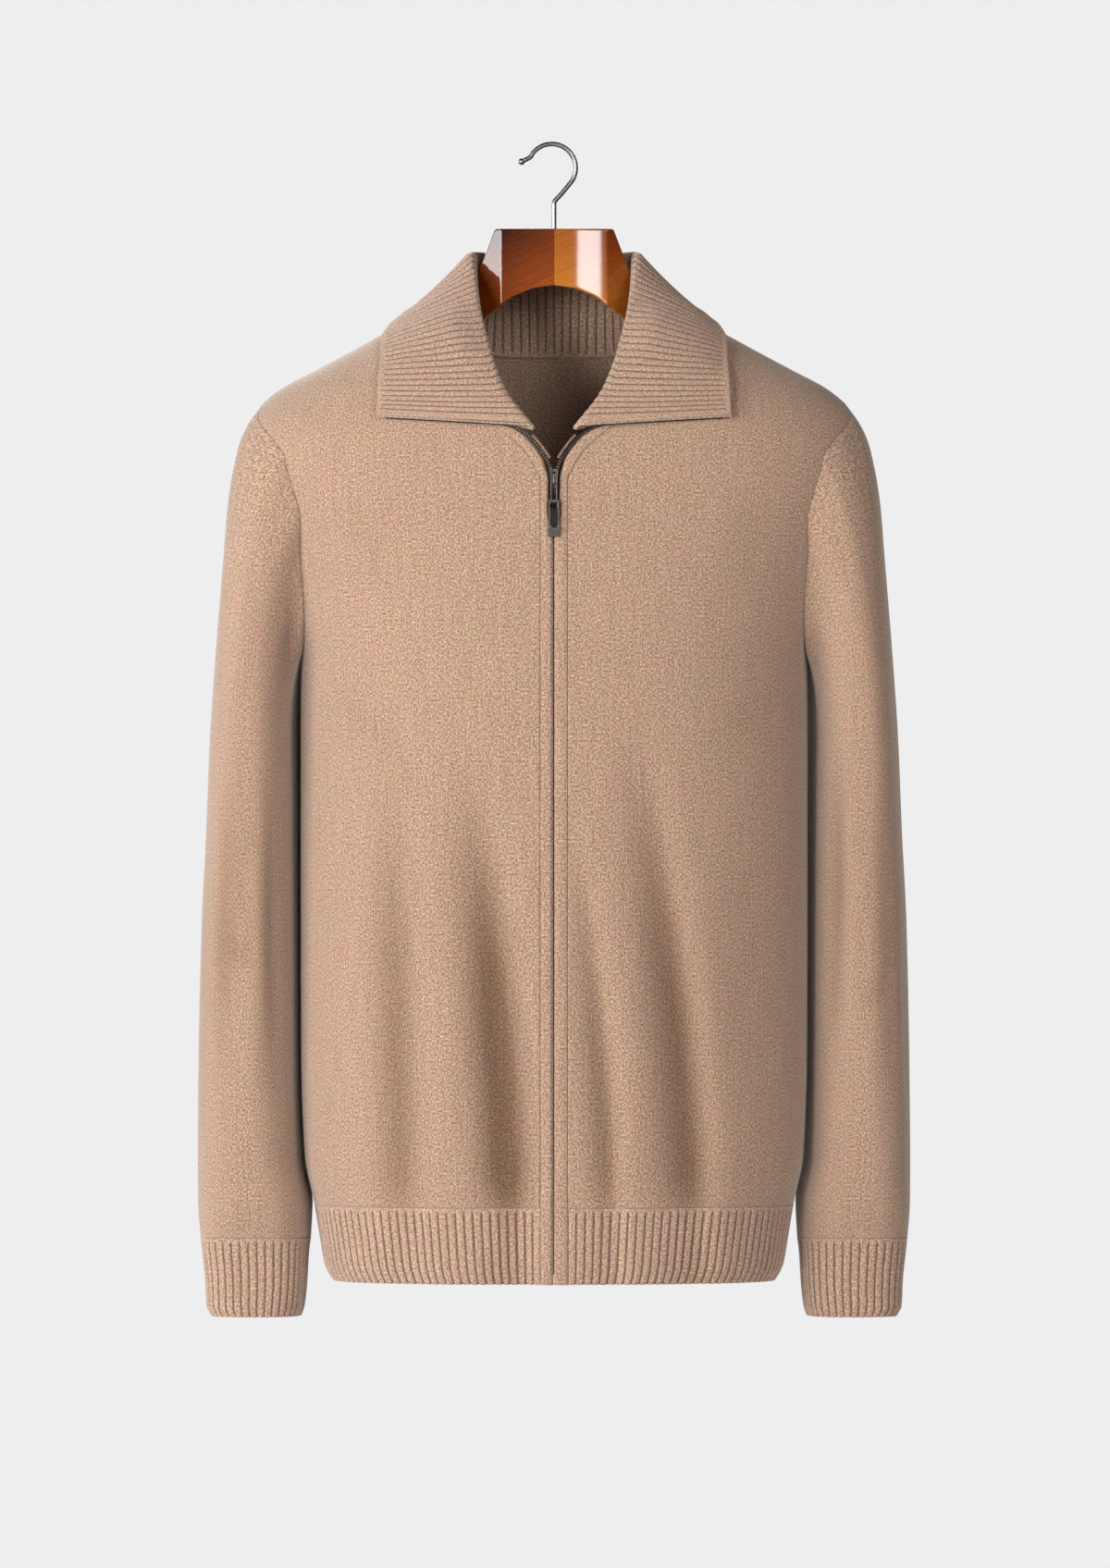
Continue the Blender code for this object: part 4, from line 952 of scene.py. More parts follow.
# A sleeve's folds: angle from its outer edge round by the front and height, at the top and foot,
# then half width and how far the cloth is drawn in. The left sleeve's come first.
SLEEVE_FOLDS = {
    "left": [
        (112, -0.214, 150, -0.420, 0.012, 0.0042),
        (70, -0.440, 62, -0.740, 0.015, 0.0022),
        (118, -0.400, 128, -0.700, 0.014, 0.0034),
        (95, -0.560, 84, -0.775, 0.010, -0.0014),
        (30, -0.520, 20, -0.760, 0.014, 0.0018),
        (250, -0.400, 262, -0.720, 0.017, 0.0036),
        (300, -0.480, 312, -0.760, 0.015, 0.0026),
        (215, -0.500, 222, -0.740, 0.012, 0.0018),
        (60, -0.600, 110, -0.632, 0.009, 0.0013),
        (240, -0.585, 300, -0.612, 0.010, 0.0016),
    ],
    "right": [
        (108, -0.208, 146, -0.430, 0.013, 0.0062),
        (76, -0.420, 66, -0.720, 0.016, 0.0026),
        (122, -0.430, 126, -0.730, 0.013, 0.0030),
        (100, -0.540, 92, -0.770, 0.011, -0.0012),
        (24, -0.480, 34, -0.750, 0.015, 0.0016),
        (256, -0.420, 248, -0.700, 0.016, 0.0032),
        (306, -0.440, 298, -0.740, 0.016, 0.0028),
        (220, -0.520, 212, -0.750, 0.012, 0.0016),
        (66, -0.570, 112, -0.598, 0.010, 0.0012),
        (236, -0.610, 290, -0.640, 0.009, 0.0015),
    ],
}
SLEEVE_RADIUS = 0.052  # of a sleeve taken as a round tube, to measure its folds round it
SLEEVE_TURN_ROWS = 12  # over so many rows a sleeve's wall turns to its direction at the armhole
FOLDS_BEGIN = 0.022  # how far below the armhole the folds reach their full depth
# a sleeve fold this deep gets the full painted shade
DEEP_SLEEVE_FOLD = 0.006


def sleeve_slack(angle, z, folds):
    """How far a sleeve's folds draw it in."""
    total = np.zeros(np.broadcast(angle, z).shape)
    for top_angle, top_z, foot_angle, foot_z, width, depth in folds:
        start = np.array([math.radians(top_angle) * SLEEVE_RADIUS, top_z])
        way = np.array([math.radians(foot_angle) * SLEEVE_RADIUS, foot_z]) - start
        length = np.linalg.norm(way)
        way = way / length
        around, down = angle * SLEEVE_RADIUS - start[0], z - start[1]
        run = np.clip((around * way[0] + down * way[1]) / length, 0, 1)
        aside = around * way[1] - down * way[0]
        total = total + depth * np.sin(np.pi * run**0.9) ** 2 * np.exp(-((aside / width) ** 2))
    return total


sleeve = sleeve_grid()
sleeve_into = -ring_normals(sleeve)
sleeve_angle = np.linspace(0, 2 * np.pi, sleeve.shape[1], endpoint=False)
sleeve_into[-1] = through_sleeve(sleeve_angle, CUFF_SEAM)
seam_share = np.clip(1 - np.arange(SLEEVE_ROWS + 1) / SLEEVE_TURN_ROWS, 0, 1)[:, None, None] ** 1.5
seam_way = through_armhole()
all_round = np.concatenate([sleeve, sleeve[:, :1]], axis=1)
round_run = run_along(all_round[SLEEVE_ROWS // 2])
sleeve_places = np.stack(np.broadcast_arrays(round_run, all_round[..., 2]), axis=-1)
from_seam = eased((sleeve[:1, :, 2] - sleeve[..., 2]) / FOLDS_BEGIN)
for side, name in ((1, "left"), (-1, "right")):
    slack = sleeve_slack(sleeve_angle, sleeve[..., 2], SLEEVE_FOLDS[name]) * from_seam
    into = unit(sleeve_into * (1 - seam_share) + seam_way * seam_share)
    shell = cloth_shell(
        (sleeve + sleeve_into * slack[..., None]) * (side, 1, 1),
        into * (side, 1, 1),
        CLOTH,
        rims(LINKED_SEAM, SEAM),
        ring=True,
        places=sleeve_places,
        # Painted shade: the colour darkens in the sleeve's folds, fully at DEEP_SLEEVE_FOLD
        shade=np.clip(slack / DEEP_SLEEVE_FOLD, 0, 1),
    )
    piece = add_piece(f"sleeve_tube_{name}", [shell], wool)
    fit(piece, f"sleeve_{name}")


# ------------------------------------------------------------------------------------- cuffs
# The cuffs are knitted as a broad rib, wide ridges with narrow grooves between them. They are
# linked to the sleeves, whose cloth is gathered a little at the seam.

# One rib: where its columns stand, and how deep each lies in the groove, on both faces
RIB_STEPS = (0.0, 0.08, 0.18, 0.34, 0.50, 0.66, 0.82, 0.92)
RIB_DEPTHS = (0.00085, 0.00055, 0.00014, 0.0, 0.0, 0.0, 0.00014, 0.00055)
GROOVE_START, GROOVE_RISE = 0.0010, 0.0030  # below its seam a rib's grooves begin, and deepen
FOOT_LIFT = 0.6  # how far a groove draws up the foot of the rib, as a share of its depth
FOOT_RIM = (0.0008, 0.0)
CUFF_RIBS = 38
RIB_LEVEL = -0.81  # the height at which the cuff's ribs are shared out round it
# Distances below a rib's seam at which its rows stand, first those that every rib has
SEAM_ROWS = (0, 0.0013, 0.0026, 0.0042, 0.0075, 0.0130, 0.0200, 0.0280, 0.0360)
CUFF_ROWS = SEAM_ROWS + (0.0440, 0.0510, 0.0555, 0.0575)
# The rib's painted light: a painted highlight on the ridges, a tenth lighter and paler, and painted shade in
# the grooves and folds
ribbed_wool = wool_finish("ribbed_wool", [(0.16, (1.10, 1.12, 1.15)), (0.90, (0.40, 0.33, 0.29))])


def rib_columns(ribs):
    """Where the columns of so many ribs stand, as shares of the way, and how deep each lies."""
    return ((np.arange(ribs)[:, None] + RIB_STEPS) / ribs).ravel(), np.tile(RIB_DEPTHS, ribs)


def rising(distance, length):
    """0 at the start and 1 after that length, with a soft step between."""
    share = np.clip(distance / length, 0, 1)
    return share * share * (3 - 2 * share)


dense_angle = np.linspace(0, 2 * np.pi, 721)
dense_run = run_along(sleeve_point(dense_angle, RIB_LEVEL))
cuff_shares, cuff_depths = rib_columns(CUFF_RIBS)
cuff_angle = np.interp(cuff_shares * dense_run[-1], dense_run, dense_angle)
cuff_drop = np.array(CUFF_ROWS)[:, None]
cuff = sleeve_point(cuff_angle, CUFF_SEAM - cuff_drop)
cuff_relief = cuff_depths * rising(cuff_drop - GROOVE_START, GROOVE_RISE)
cuff_into = -ring_normals(cuff)
cuff_into[0] = through_sleeve(cuff_angle, CUFF_SEAM)
cuff[-1, :, 2] += FOOT_LIFT * cuff_relief[-1]
cuff_run = np.append(cuff_shares, 1) * dense_run[-1]
cuff_places = np.stack(np.broadcast_arrays(cuff_run, CUFF_SEAM - cuff_drop), axis=-1)
for side, name in ((1, "left"), (-1, "right")):
    shell = cloth_shell(
        cuff * (side, 1, 1),
        cuff_into * (side, 1, 1),
        CLOTH,
        rims(SEAM, FOOT_RIM),
        ring=True,
        places=cuff_places,
        relief=cuff_relief,
    )
    piece = add_piece(f"cuff_rib_{name}", [shell], ribbed_wool)
    fit(piece, f"cuff_{name}")


# --------------------------------------------------------------------------------------- hem
# The hem is one band of the same rib. It runs from one front edge round the back to the other,
# is linked to all three panels, and draws the body in a little.

HEM_RIB = 0.0064  # a rib's pitch
HEM_ROWS = SEAM_ROWS + (0.0430, 0.0490, 0.0532, 0.0552)
HEM_PAINTED_SHADE = 0.5  # the rib gets only this share of the folds' painted shade


def hem_line(way, z):
    """The hem at a place on its way round, from 0 at the right front edge to 4 at the left."""
    quarter = np.minimum(way, 4 - way)
    start = math.asin((BAND_EDGE / half_width(HEM_SEAM)) ** (SIDE_POWER / 2))
    turn = np.where(quarter < 1, start + (math.pi / 2 - start) * quarter, math.pi / 2 * (2 - quarter))
    width = half_width(z)
    x = width * np.sin(np.clip(turn, 0, math.pi / 2)) ** (2 / SIDE_POWER)
    x = x + BAND_EDGE * (1 - width / half_width(HEM_SEAM)) * np.clip(1 - 12 * quarter, 0, 1)
    x = x * np.where(way < 2, -1, 1)
    return np.where((quarter < 1)[..., None], skin(x, z, FRONT), skin(x, z, BACK))


dense_way = np.linspace(0, 4, 4001)
dense_run = run_along(hem_line(dense_way, HEM_SEAM))
hem_length = dense_run[-1]
hem_shares, hem_depths = rib_columns(round(hem_length / HEM_RIB))
hem_shares, hem_depths = np.append(hem_shares, 1), np.append(hem_depths, 0)
hem_depths[0] = 0
hem_way = np.interp(hem_shares * hem_length, dense_run, dense_way)
hem_drop = np.array(HEM_ROWS)[:, None]
hem_points = hem_line(hem_way, HEM_SEAM - hem_drop)
hem_into = -outward(hem_points)
hem_relief = hem_depths * rising(hem_drop - GROOVE_START, GROOVE_RISE)
hem_points[-1, :, 2] += FOOT_LIFT * hem_relief[-1]
front_painted_shade, back_painted_shade = (
    drawn_in(hem_points[..., 0], hem_points[..., 2], face, shade=True) for face in (FRONT, BACK)
)
hem_shell = cloth_shell(
    hem_points,
    hem_into,
    CLOTH,
    rims(SEAM, FOOT_RIM, SEAM, SEAM),
    places=np.stack(np.broadcast_arrays(hem_shares * hem_length, HEM_SEAM - hem_drop), axis=-1),
    relief=hem_relief,
    # Painted shade of the body's folds, carried on into the rib at a reduced share
    shade=HEM_PAINTED_SHADE * np.where(hem_points[..., 1] < 0, front_painted_shade, back_painted_shade),
)
hem = add_piece("hem_rib", [hem_shell], ribbed_wool)
fit(hem, "hem")


# ------------------------------------------------------------------------------------ collar
# The collar is a tall ribbed funnel, linked to the neck and turned down outwards over its own
# roll. Its front ends and its outer edge are knitted plain, and a fine chain links its foot.

# Its shape at each share of the way from the middle of the back to the front: the roll's crest,
# the middle and the edge of the part turned down, and how far that part stays off the body
COLLAR = [
    (0.00, 0.0000, 0.0540, -0.0785, 0.0000, 0.0750, -0.1120, 0.0000, 0.0715, -0.1520, 0.0030),
    (0.20, 0.0320, 0.0490, -0.0780, 0.0440, 0.0680, -0.1115, 0.0500, 0.0700, -0.1510, 0.0036),
    (0.36, 0.0495, 0.0330, -0.0772, 0.0720, 0.0450, -0.1085, 0.0900, 0.0510, -0.1400, 0.0048),
    (0.50, 0.0580, 0.0030, -0.0788, 0.0905, 0.0010, -0.1075, 0.1160, 0.0010, -0.1290, 0.0046),
    (0.62, 0.0570, -0.0180, -0.0950, 0.0905, -0.0230, -0.1125, 0.1205, -0.0190, -0.1315, 0.0036),
    (0.74, 0.0548, -0.0400, -0.1150, 0.0910, -0.0470, -0.1270, 0.1238, -0.0390, -0.1395, 0.0038),
    (0.84, 0.0476, -0.0690, -0.1472, 0.0880, -0.0760, -0.1525, 0.1255, -0.0655, -0.1565, 0.0042),
    (0.92, 0.0362, -0.0900, -0.1780, 0.0810, -0.0925, -0.1790, 0.1265, -0.0835, -0.1785, 0.0042),
    (1.00, 0.0145, -0.1045, -0.2075, 0.0700, -0.1015, -0.2020, 0.1275, -0.0910, -0.1985, 0.0042),
]
FOLD_RADIUS = 0.0042  # of the roll, at the middle of the collar's thickness
COLLAR_CLOTH = 0.0030
COLLAR_RIB = 0.0064
PLAIN_END = 0.0115  # of the plain strip at each front end, along the roll
PLAIN_EDGE = 0.0032  # of the plain edge
EDGE_LIES = 0.0026  # how far the middle of the outer edge's cloth lies off the body
COLLAR_RIM = (0.0011, 0.0)
# Shares of the stand, the roll and the part turned down, at which the collar's rows stand
STAND_SHARES = (0, 0.02, 0.045, 0.08, 0.16, 0.28, 0.42, 0.56, 0.70, 0.84)
ROLL_SHARES = tuple(np.linspace(0, 1, 13))
FALL_SHARES = tuple(np.linspace(0.045, 0.90, 18)) + (0.935, 0.96, 0.98, 1.0)


def neck_seam(share):
    """The neck seam at a share from -1 at the right front end to 1 at the left."""
    place = np.abs(share)
    back_x = 2 * BACK_NECK[-1][0] * np.minimum(place, 0.5)
    front_z = NECK_POINT + (TURN_END - NECK_POINT) * np.clip(2 * place - 1, 0, 1)
    behind = skin(back_x, along(BACK_NECK, 1, back_x), BACK)
    before = skin(along(FRONT_NECK, 1, front_z), front_z, FRONT)
    seam = np.where((place < 0.5)[:, None], behind, before)
    return seam * np.stack([np.sign(share), 1 + 0 * share, 1 + 0 * share], axis=-1)


def collar_points(share, columns):
    """Three columns of the collar's table as points."""
    place = np.abs(share)
    x, y, z = (along(COLLAR, column, place) for column in columns)
    return np.stack([np.sign(share) * x, y, z], axis=-1)


def kept_off(points, clearance):
    """Moves points out until they stand that far off the smooth form."""
    for _ in range(6):
        slope = level_slope(points)
        size = np.linalg.norm(slope, axis=-1, keepdims=True)
        distance = (level(points)[..., None] - 1) / size
        points = points + slope / size * np.clip(clearance - distance, 0, None)
    return points


def settled(points, t):
    """How far the outer edge, at t of 1, sinks so that it lies close to the body."""
    slope = np.linalg.norm(level_slope(points), axis=-1)
    return np.clip((level(points) - 1) / slope - EDGE_LIES, 0, 0.004) * rising(t - 0.70, 0.30)


def collar_rows(share):
    """The middle of the collar's thickness, from the neck seam over the roll to the edge."""
    seam = neck_seam(share)
    roll, middle, edge = (collar_points(share, columns) for columns in ((1, 2, 3), (4, 5, 6), (7, 8, 9)))
    rise = unit(roll - seam)
    out = outward(seam)
    out = unit(out - rise * np.sum(out * rise, axis=-1, keepdims=True))
    centre = roll - rise * FOLD_RADIUS
    rows = [seam + (centre - out * FOLD_RADIUS - seam) * t for t in STAND_SHARES]
    for t in ROLL_SHARES:
        rows.append(centre + FOLD_RADIUS * (rise * math.sin(math.pi * t) - out * math.cos(math.pi * t)))
    start = rows[-1]
    pull = 2 * middle - (start + edge) / 2
    clear = along(COLLAR, 10, np.abs(share))[:, None]
    ends = rising(0.90 - np.abs(share), 0.08)
    for t in FALL_SHARES:
        fall = start * (1 - t) ** 2 + pull * 2 * t * (1 - t) + edge * t * t
        off = rising(t, 0.30) * rising(NECK_POINT + 0.006 - fall[:, 2:], 0.012)
        fall = fall + (kept_off(fall, clear) - fall) * off
        rows.append(fall - outward(fall) * (settled(fall, t) * ends)[:, None])
    return np.stack(rows)


dense_share = np.linspace(-1, 1, 1601)
dense_run = run_along(collar_points(dense_share, (1, 2, 3)))
roll_length = dense_run[-1]
ribbed_length = roll_length - 2 * PLAIN_END
rib_shares, rib_depths = rib_columns(round(ribbed_length / COLLAR_RIB))
plain_run = np.linspace(0, PLAIN_END, 9)
collar_run = np.concatenate(
    [plain_run[:-1], PLAIN_END + rib_shares * ribbed_length, roll_length - plain_run[::-1]]
)
collar_depths = np.concatenate([np.zeros(8), rib_depths, [RIB_DEPTHS[0]], np.zeros(8)])
collar_share = np.interp(collar_run, dense_run, dense_share)
collar_middle = collar_rows(collar_share)
up, around = np.gradient(collar_middle, axis=0), np.gradient(collar_middle, axis=1)
collar_out = unit(np.cross(around, up))
collar_out *= np.sign(np.sum(collar_out[5] * outward(collar_middle[0])))
seam_hold = np.clip(1 - np.arange(len(collar_middle)) / 4, 0, 1)[:, None, None]
collar_out = unit(collar_out * (1 - seam_hold) + outward(collar_middle[0]) * seam_hold)
stand_share = np.ones(len(collar_middle))
stand_share[: len(STAND_SHARES)] = np.minimum(1, 2 * np.array(STAND_SHARES))
collar_outer = collar_middle + collar_out * COLLAR_CLOTH / 2 * stand_share[:, None, None]
collar_path = np.stack([run_along(column) for column in collar_middle.swapaxes(0, 1)], axis=1)
to_edge = collar_path[-1] - collar_path
collar_relief = collar_depths * rising(collar_path - 0.0014, 0.0030) * rising(to_edge - PLAIN_EDGE, 0.0015)
collar_shell = cloth_shell(
    collar_outer,
    -collar_out,
    COLLAR_CLOTH,
    rims(SEAM, COLLAR_RIM, COLLAR_RIM, COLLAR_RIM),
    places=np.stack(np.broadcast_arrays(collar_run, collar_path), axis=-1),
    relief=collar_relief,
)
collar = add_piece("ribbed_collar", [collar_shell], ribbed_wool)
fit(collar, "collar")

# The chain of linking stitches that shows inside, along the foot of the collar
CHAIN_INSET = 0.006  # from each front end, along the roll
CHAIN_RISE = 0.0016  # above the seam
CHAIN_THREAD, CHAIN_SWELL, CHAIN_STITCH = 0.00050, 0.00014, 0.0022
chain_run = np.linspace(CHAIN_INSET, roll_length - CHAIN_INSET, 900)
chain_rows = collar_rows(np.interp(chain_run, dense_run, dense_share))
chain_up = unit(chain_rows[4] - chain_rows[0])
chain_path = chain_rows[0] - outward(chain_rows[0]) * (COLLAR_CLOTH + 0.0001) + chain_up * CHAIN_RISE
chain_size = CHAIN_THREAD + CHAIN_SWELL * np.sin(run_along(chain_path) * 2 * np.pi / CHAIN_STITCH)
chain = add_piece("neck_chain", [rod(chain_path, chain_size, sides=6)], wool)
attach(chain, "cardigan")


# -------------------------------------------------------------------------------- edge bands
# A narrow raised band of the fine knit is linked down each front edge. The two nearly meet over
# the zip, draw back beside the slider, and turn out with the fronts where the zip is open.

# A band's width at each height, square to its edge
BAND = [
    (-0.8212, 0.0088),
    (-0.2860, 0.0088),
    (-0.2660, 0.0058),
    (-0.2430, 0.0058),
    (-0.2375, 0.0070),
    (-0.2310, 0.0082),
    (-0.2000, 0.0082),
]
BAND_TOP = -0.2015
BAND_CROWN = 0.0007
# How much wider each band is where they meet, so that the slit lies a little to one side
BAND_MORE = {"left": 0.0009, "right": 0.0004}
BAND_FOOT = {"left": 0.0009, "right": 0.0008}  # the same at the foot, where they close
BAND_END, BAND_FOLD = (0.0007, 0.0), (0.0010, 0.0)  # the rims of its ends and of its free side

band_z = np.concatenate([np.linspace(HEM_END, -0.2900, 107), np.linspace(-0.2860, BAND_TOP, 56)])
band_x = panel_edge(band_z)
band_way = unit(np.stack([np.gradient(band_x, band_z), 1 + 0 * band_z], axis=-1))
band_share = np.array([0, 0.10, 0.26, 0.50, 0.74, 0.90, 1.0])
for side, name in ((1, "left"), (-1, "right")):
    closed_part = 1 - rising(band_z + 0.290, 0.024)
    more = BAND_MORE[name] + (BAND_FOOT[name] - BAND_MORE[name]) * (1 - rising(band_z - HEM_END, 0.006))
    width = (along(BAND, 1, band_z) + more * closed_part)[:, None] * (1 - band_share)
    x = side * (band_x[:, None] - band_way[:, 1:] * width)
    z = band_z[:, None] + band_way[:, :1] * width
    points = skin(x, z, FRONT)
    into = -outward(points)
    points = points - into * (BAND_CROWN * np.sin(np.pi * band_share) ** 0.7)[:, None]
    band_run = run_along(points[:, 3])[:, None]
    band_places = np.stack(np.broadcast_arrays(side * (0.01 + width), band_run), axis=-1)
    band_rims = rims(BAND_END, BAND_END, BAND_FOLD, SEAM)
    shell = cloth_shell(points, into, CLOTH, band_rims, places=band_places)
    band = add_piece(f"front_band_{name}", [shell], wool)
    fit(band, f"edge_{name}")


# -------------------------------------------------------------------------- zip: tapes and facings
# A woven polyester tape carries each row of teeth. It is sewn in behind the band, and above the
# slider a thin strip of knit covers its inner side.

# The middle of one row of teeth: run along it, x, height, and how far it stands off the cloth
ZIP = [
    (0.000, 0.0012, -0.8206, -0.0042),
    (0.555, 0.0012, -0.2640, -0.0042),
    (0.567, 0.0012, -0.2520, 0.0001),
    (0.576, 0.0014, -0.2440, 0.0003),
    (0.584, 0.0024, -0.2355, 0.0005),
    (0.599, 0.0096, -0.2222, 0.0008),
    (0.617, 0.0222, -0.2095, 0.0014),
    (0.634, 0.0385, -0.2035, 0.0012),
    (0.656, 0.0600, -0.2022, 0.0011),
    (0.718, 0.1225, -0.1985, 0.0012),
]
ZIP_END, OPEN_RUN = 0.718, 0.555
FACING_RUN, FACING_WIDTH = (0.5905, 0.6100), 0.0019
FACING_GAP, FACING_CROWN = 0.0004, 0.0005  # from the teeth, and how far it swells
FACING_PAINTED_SHADE = 0.9  # painted shade over the whole strip, for the shade that falls on it between the teeth and the other front
FACING_RIM, FACING_SIDE = (0.0006, 0.0), (0.0004, 0.0)
TEETH_HALF, TEETH_DEPTH = 0.0008, 0.0015  # half width and depth of one row
TAPE_CLOTH, TAPE_WIDTH, TAPE_OPEN_WIDTH = 0.0006, 0.0094, 0.0010
TAPE_RIM = (0.0002, 0.0)
TAPE_DARK, TAPE_LIGHT = (0.022, 0.013, 0.008), (0.055, 0.034, 0.023)
WEFT, WARP = 0.0007, 0.0009  # the tape's threads, across and along it
ZIP_STEP = 0.0005  # half the length over which the zip's direction is measured


def along_zip(run, side, aside, lift=0.0):
    """Points beside a row of teeth, aside from its middle towards its tape, off the cloth by lift."""
    run = np.asarray(run, float)
    x, z = along(ZIP, 1, run), along(ZIP, 2, run)
    ahead_x, ahead_z = (along(ZIP, k, run + ZIP_STEP) - along(ZIP, k, run - ZIP_STEP) for k in (1, 2))
    size = np.hypot(ahead_x, ahead_z)
    points = skin(side * (x + ahead_z / size * aside), z - ahead_x / size * aside, FRONT)
    return points + outward(points) * (along(ZIP, 3, run) + lift)[..., None]


def tape_finish():
    """Dark brown woven tape with its fine cross ribs."""
    material, tree, shader = new_finish("zip_tape_weave")
    _, u, v = cloth_place(tree)
    across = sum_of(tree, "SINE", sum_of(tree, "MULTIPLY", u, 2 * math.pi / WEFT))
    down = sum_of(tree, "SINE", sum_of(tree, "MULTIPLY", v, 2 * math.pi / WARP))
    weave = sum_of(tree, "MULTIPLY_ADD", sum_of(tree, "MULTIPLY", across, down), 0.5, 0.5)
    colour = tones(tree, weave, [(0.2, TAPE_DARK), (0.8, TAPE_LIGHT)])
    dress(tree, shader, colour, raised(tree, weave, 0.0002), Roughness=0.8)
    return material


tape_cloth = tape_finish()
tape_run = np.concatenate([np.linspace(0.001, 0.540, 110), np.linspace(0.545, 0.716, 110)])[:, None]
tape_out = TAPE_WIDTH - (TAPE_WIDTH - TAPE_OPEN_WIDTH) * rising(tape_run - OPEN_RUN + 0.030, 0.028)
tape_aside = TEETH_HALF - 0.0003 + np.array([0, 0.08, 0.5, 1.0]) * tape_out
facing_run = np.linspace(*FACING_RUN, 26)[:, None]
facing_share = np.array([0, 0.2, 0.5, 0.8, 1])
facing_aside = -TEETH_HALF - FACING_GAP - FACING_WIDTH * facing_share[::-1]
for side, name in ((1, "left"), (-1, "right")):
    points = along_zip(tape_run, side, tape_aside, TAPE_CLOTH / 2)
    tape_places = np.stack(np.broadcast_arrays(tape_aside, tape_run), axis=-1)
    tape_rims = rims(TAPE_RIM, TAPE_RIM, TAPE_RIM, TAPE_RIM)
    shell = cloth_shell(points, -outward(points), TAPE_CLOTH, tape_rims, places=tape_places, rim_turns=1)
    tape = add_piece(f"zip_tape_{name}", [shell], tape_cloth)
    fit(tape, f"tape_{name}")

    points = along_zip(facing_run, side, facing_aside, TEETH_DEPTH / 2)
    into = -outward(points)
    points = points - into * (FACING_CROWN * np.sin(np.pi * facing_share))[:, None]
    shell = cloth_shell(
        points,
        into,
        TEETH_DEPTH,
        rims(FACING_RIM, FACING_RIM, FACING_RIM, FACING_SIDE),
        places=np.stack(np.broadcast_arrays(side * facing_aside, facing_run), axis=-1),
        # Painted shade, the same all over the strip
        shade=FACING_PAINTED_SHADE + 0 * points[..., 0],
    )
    facing = add_piece(f"zip_facing_{name}", [shell], wool)
    fit(facing, f"facing_{name}")


# -------------------------------------------------------------------------------- zip: teeth
# The teeth are small blackened metal clips, pressed one by one on to the tape's corded edge. The
# two rows stand half a pitch apart, so that below the slider each tooth holds between two others.

TOOTH_PITCH, TOOTH_LENGTH = 0.0021, 0.00092
# A tooth's outline, seen along the zip: aside from the row's middle, and off its cloth
TOOTH_OUTLINE = [
    (0.00085, 0.00062),
    (0.00030, 0.00075),
    (-0.00025, 0.00050),
    (-0.00070, 0.00066),
    (-0.00110, 0.00040),
    (-0.00110, -0.00040),
    (-0.00070, -0.00066),
    (-0.00025, -0.00050),
    (0.00030, -0.00075),
    (0.00085, -0.00062),
]
# A tooth's end, cut into four-sided faces between these points of its outline
TOOTH_ENDS = [(0, 1, 8, 9), (1, 2, 7, 8), (2, 3, 6, 7), (3, 4, 5, 6)]
TOOTH_WAIST = 0.86  # a tooth's ends are this share of its middle
GUNMETAL, DEEP_GUNMETAL = (0.070, 0.062, 0.055), (0.020, 0.017, 0.015)
dark_metal = metal_finish("blackened_metal", GUNMETAL, 0.30, deep_colour=DEEP_GUNMETAL)


def tooth_row(side, first):
    """All the teeth of one row as one part."""
    middle = np.arange(first, ZIP_END - 0.001, TOOTH_PITCH)[:, None, None]
    layers = np.array([-0.5, 0.0, 0.5])[:, None] * TOOTH_LENGTH
    size = np.array([TOOTH_WAIST, 1.0, TOOTH_WAIST])[:, None]
    aside, lift = (np.array(TOOTH_OUTLINE).T[k] * size for k in (0, 1))
    points = along_zip(middle + layers, side, aside + 0 * middle, lift)
    count, sides = len(middle), len(TOOTH_OUTLINE)
    index = np.arange(count * 3 * sides).reshape(count, 3, sides)
    turned = np.roll(index, -1, axis=2)
    quads = np.stack([index[:, :-1], turned[:, :-1], turned[:, 1:], index[:, 1:]], axis=-1).reshape(-1, 4)
    for corners in TOOTH_ENDS:
        quads = np.concatenate([quads, index[:, 0, corners], index[:, 2, corners[::-1]]])
    return {"points": points.reshape(-1, 3), "quads": quads if side > 0 else quads[:, ::-1]}


for side, name, first in ((1, "left", 0.0010), (-1, "right", 0.0010 + TOOTH_PITCH / 2)):
    row = add_piece(f"zip_teeth_{name}", [tooth_row(side, first)], dark_metal, sharp=35)
    fit(row, f"teeth_{name}")


# -------------------------------------------------------------------------- zip: slider and pull tab
# The slider is cast metal, two plates joined by a post between the rows. A bridge on its front
# plate holds the pull tab, which swings up and down on its own wire link.

SLIDER_TOP, SLIDER_END = -0.2360, -0.2500
PLATE, THROAT = 0.0009, 0.0022  # a plate's thickness, and the room between the two
PLATE_CROWN = 0.0002
PIVOT = -0.2467  # height of the link's crossbar
slider_back = float(skin(0.0, SLIDER_END, FRONT)[1]) - THROAT / 2 - 0.0002
slider_face = slider_back - PLATE
# Half width of a plate at each share of its height, from the foot up
PLATE_WIDTHS = [
    (0.0, 0.0017),
    (0.04, 0.0022),
    (0.12, 0.0025),
    (0.5, 0.0028),
    (0.88, 0.0032),
    (0.96, 0.0030),
    (1.0, 0.0025),
]
PLATE_RIM = (0.00035, 0.0)
BRIDGE_WIRE, BRIDGE_HEIGHT, BRIDGE_FLAT = 0.00045, 0.0024, 2.0
POST_RADIUS = 0.0005
BITE = 0.0003  # how far the bridge and the post run into the plates


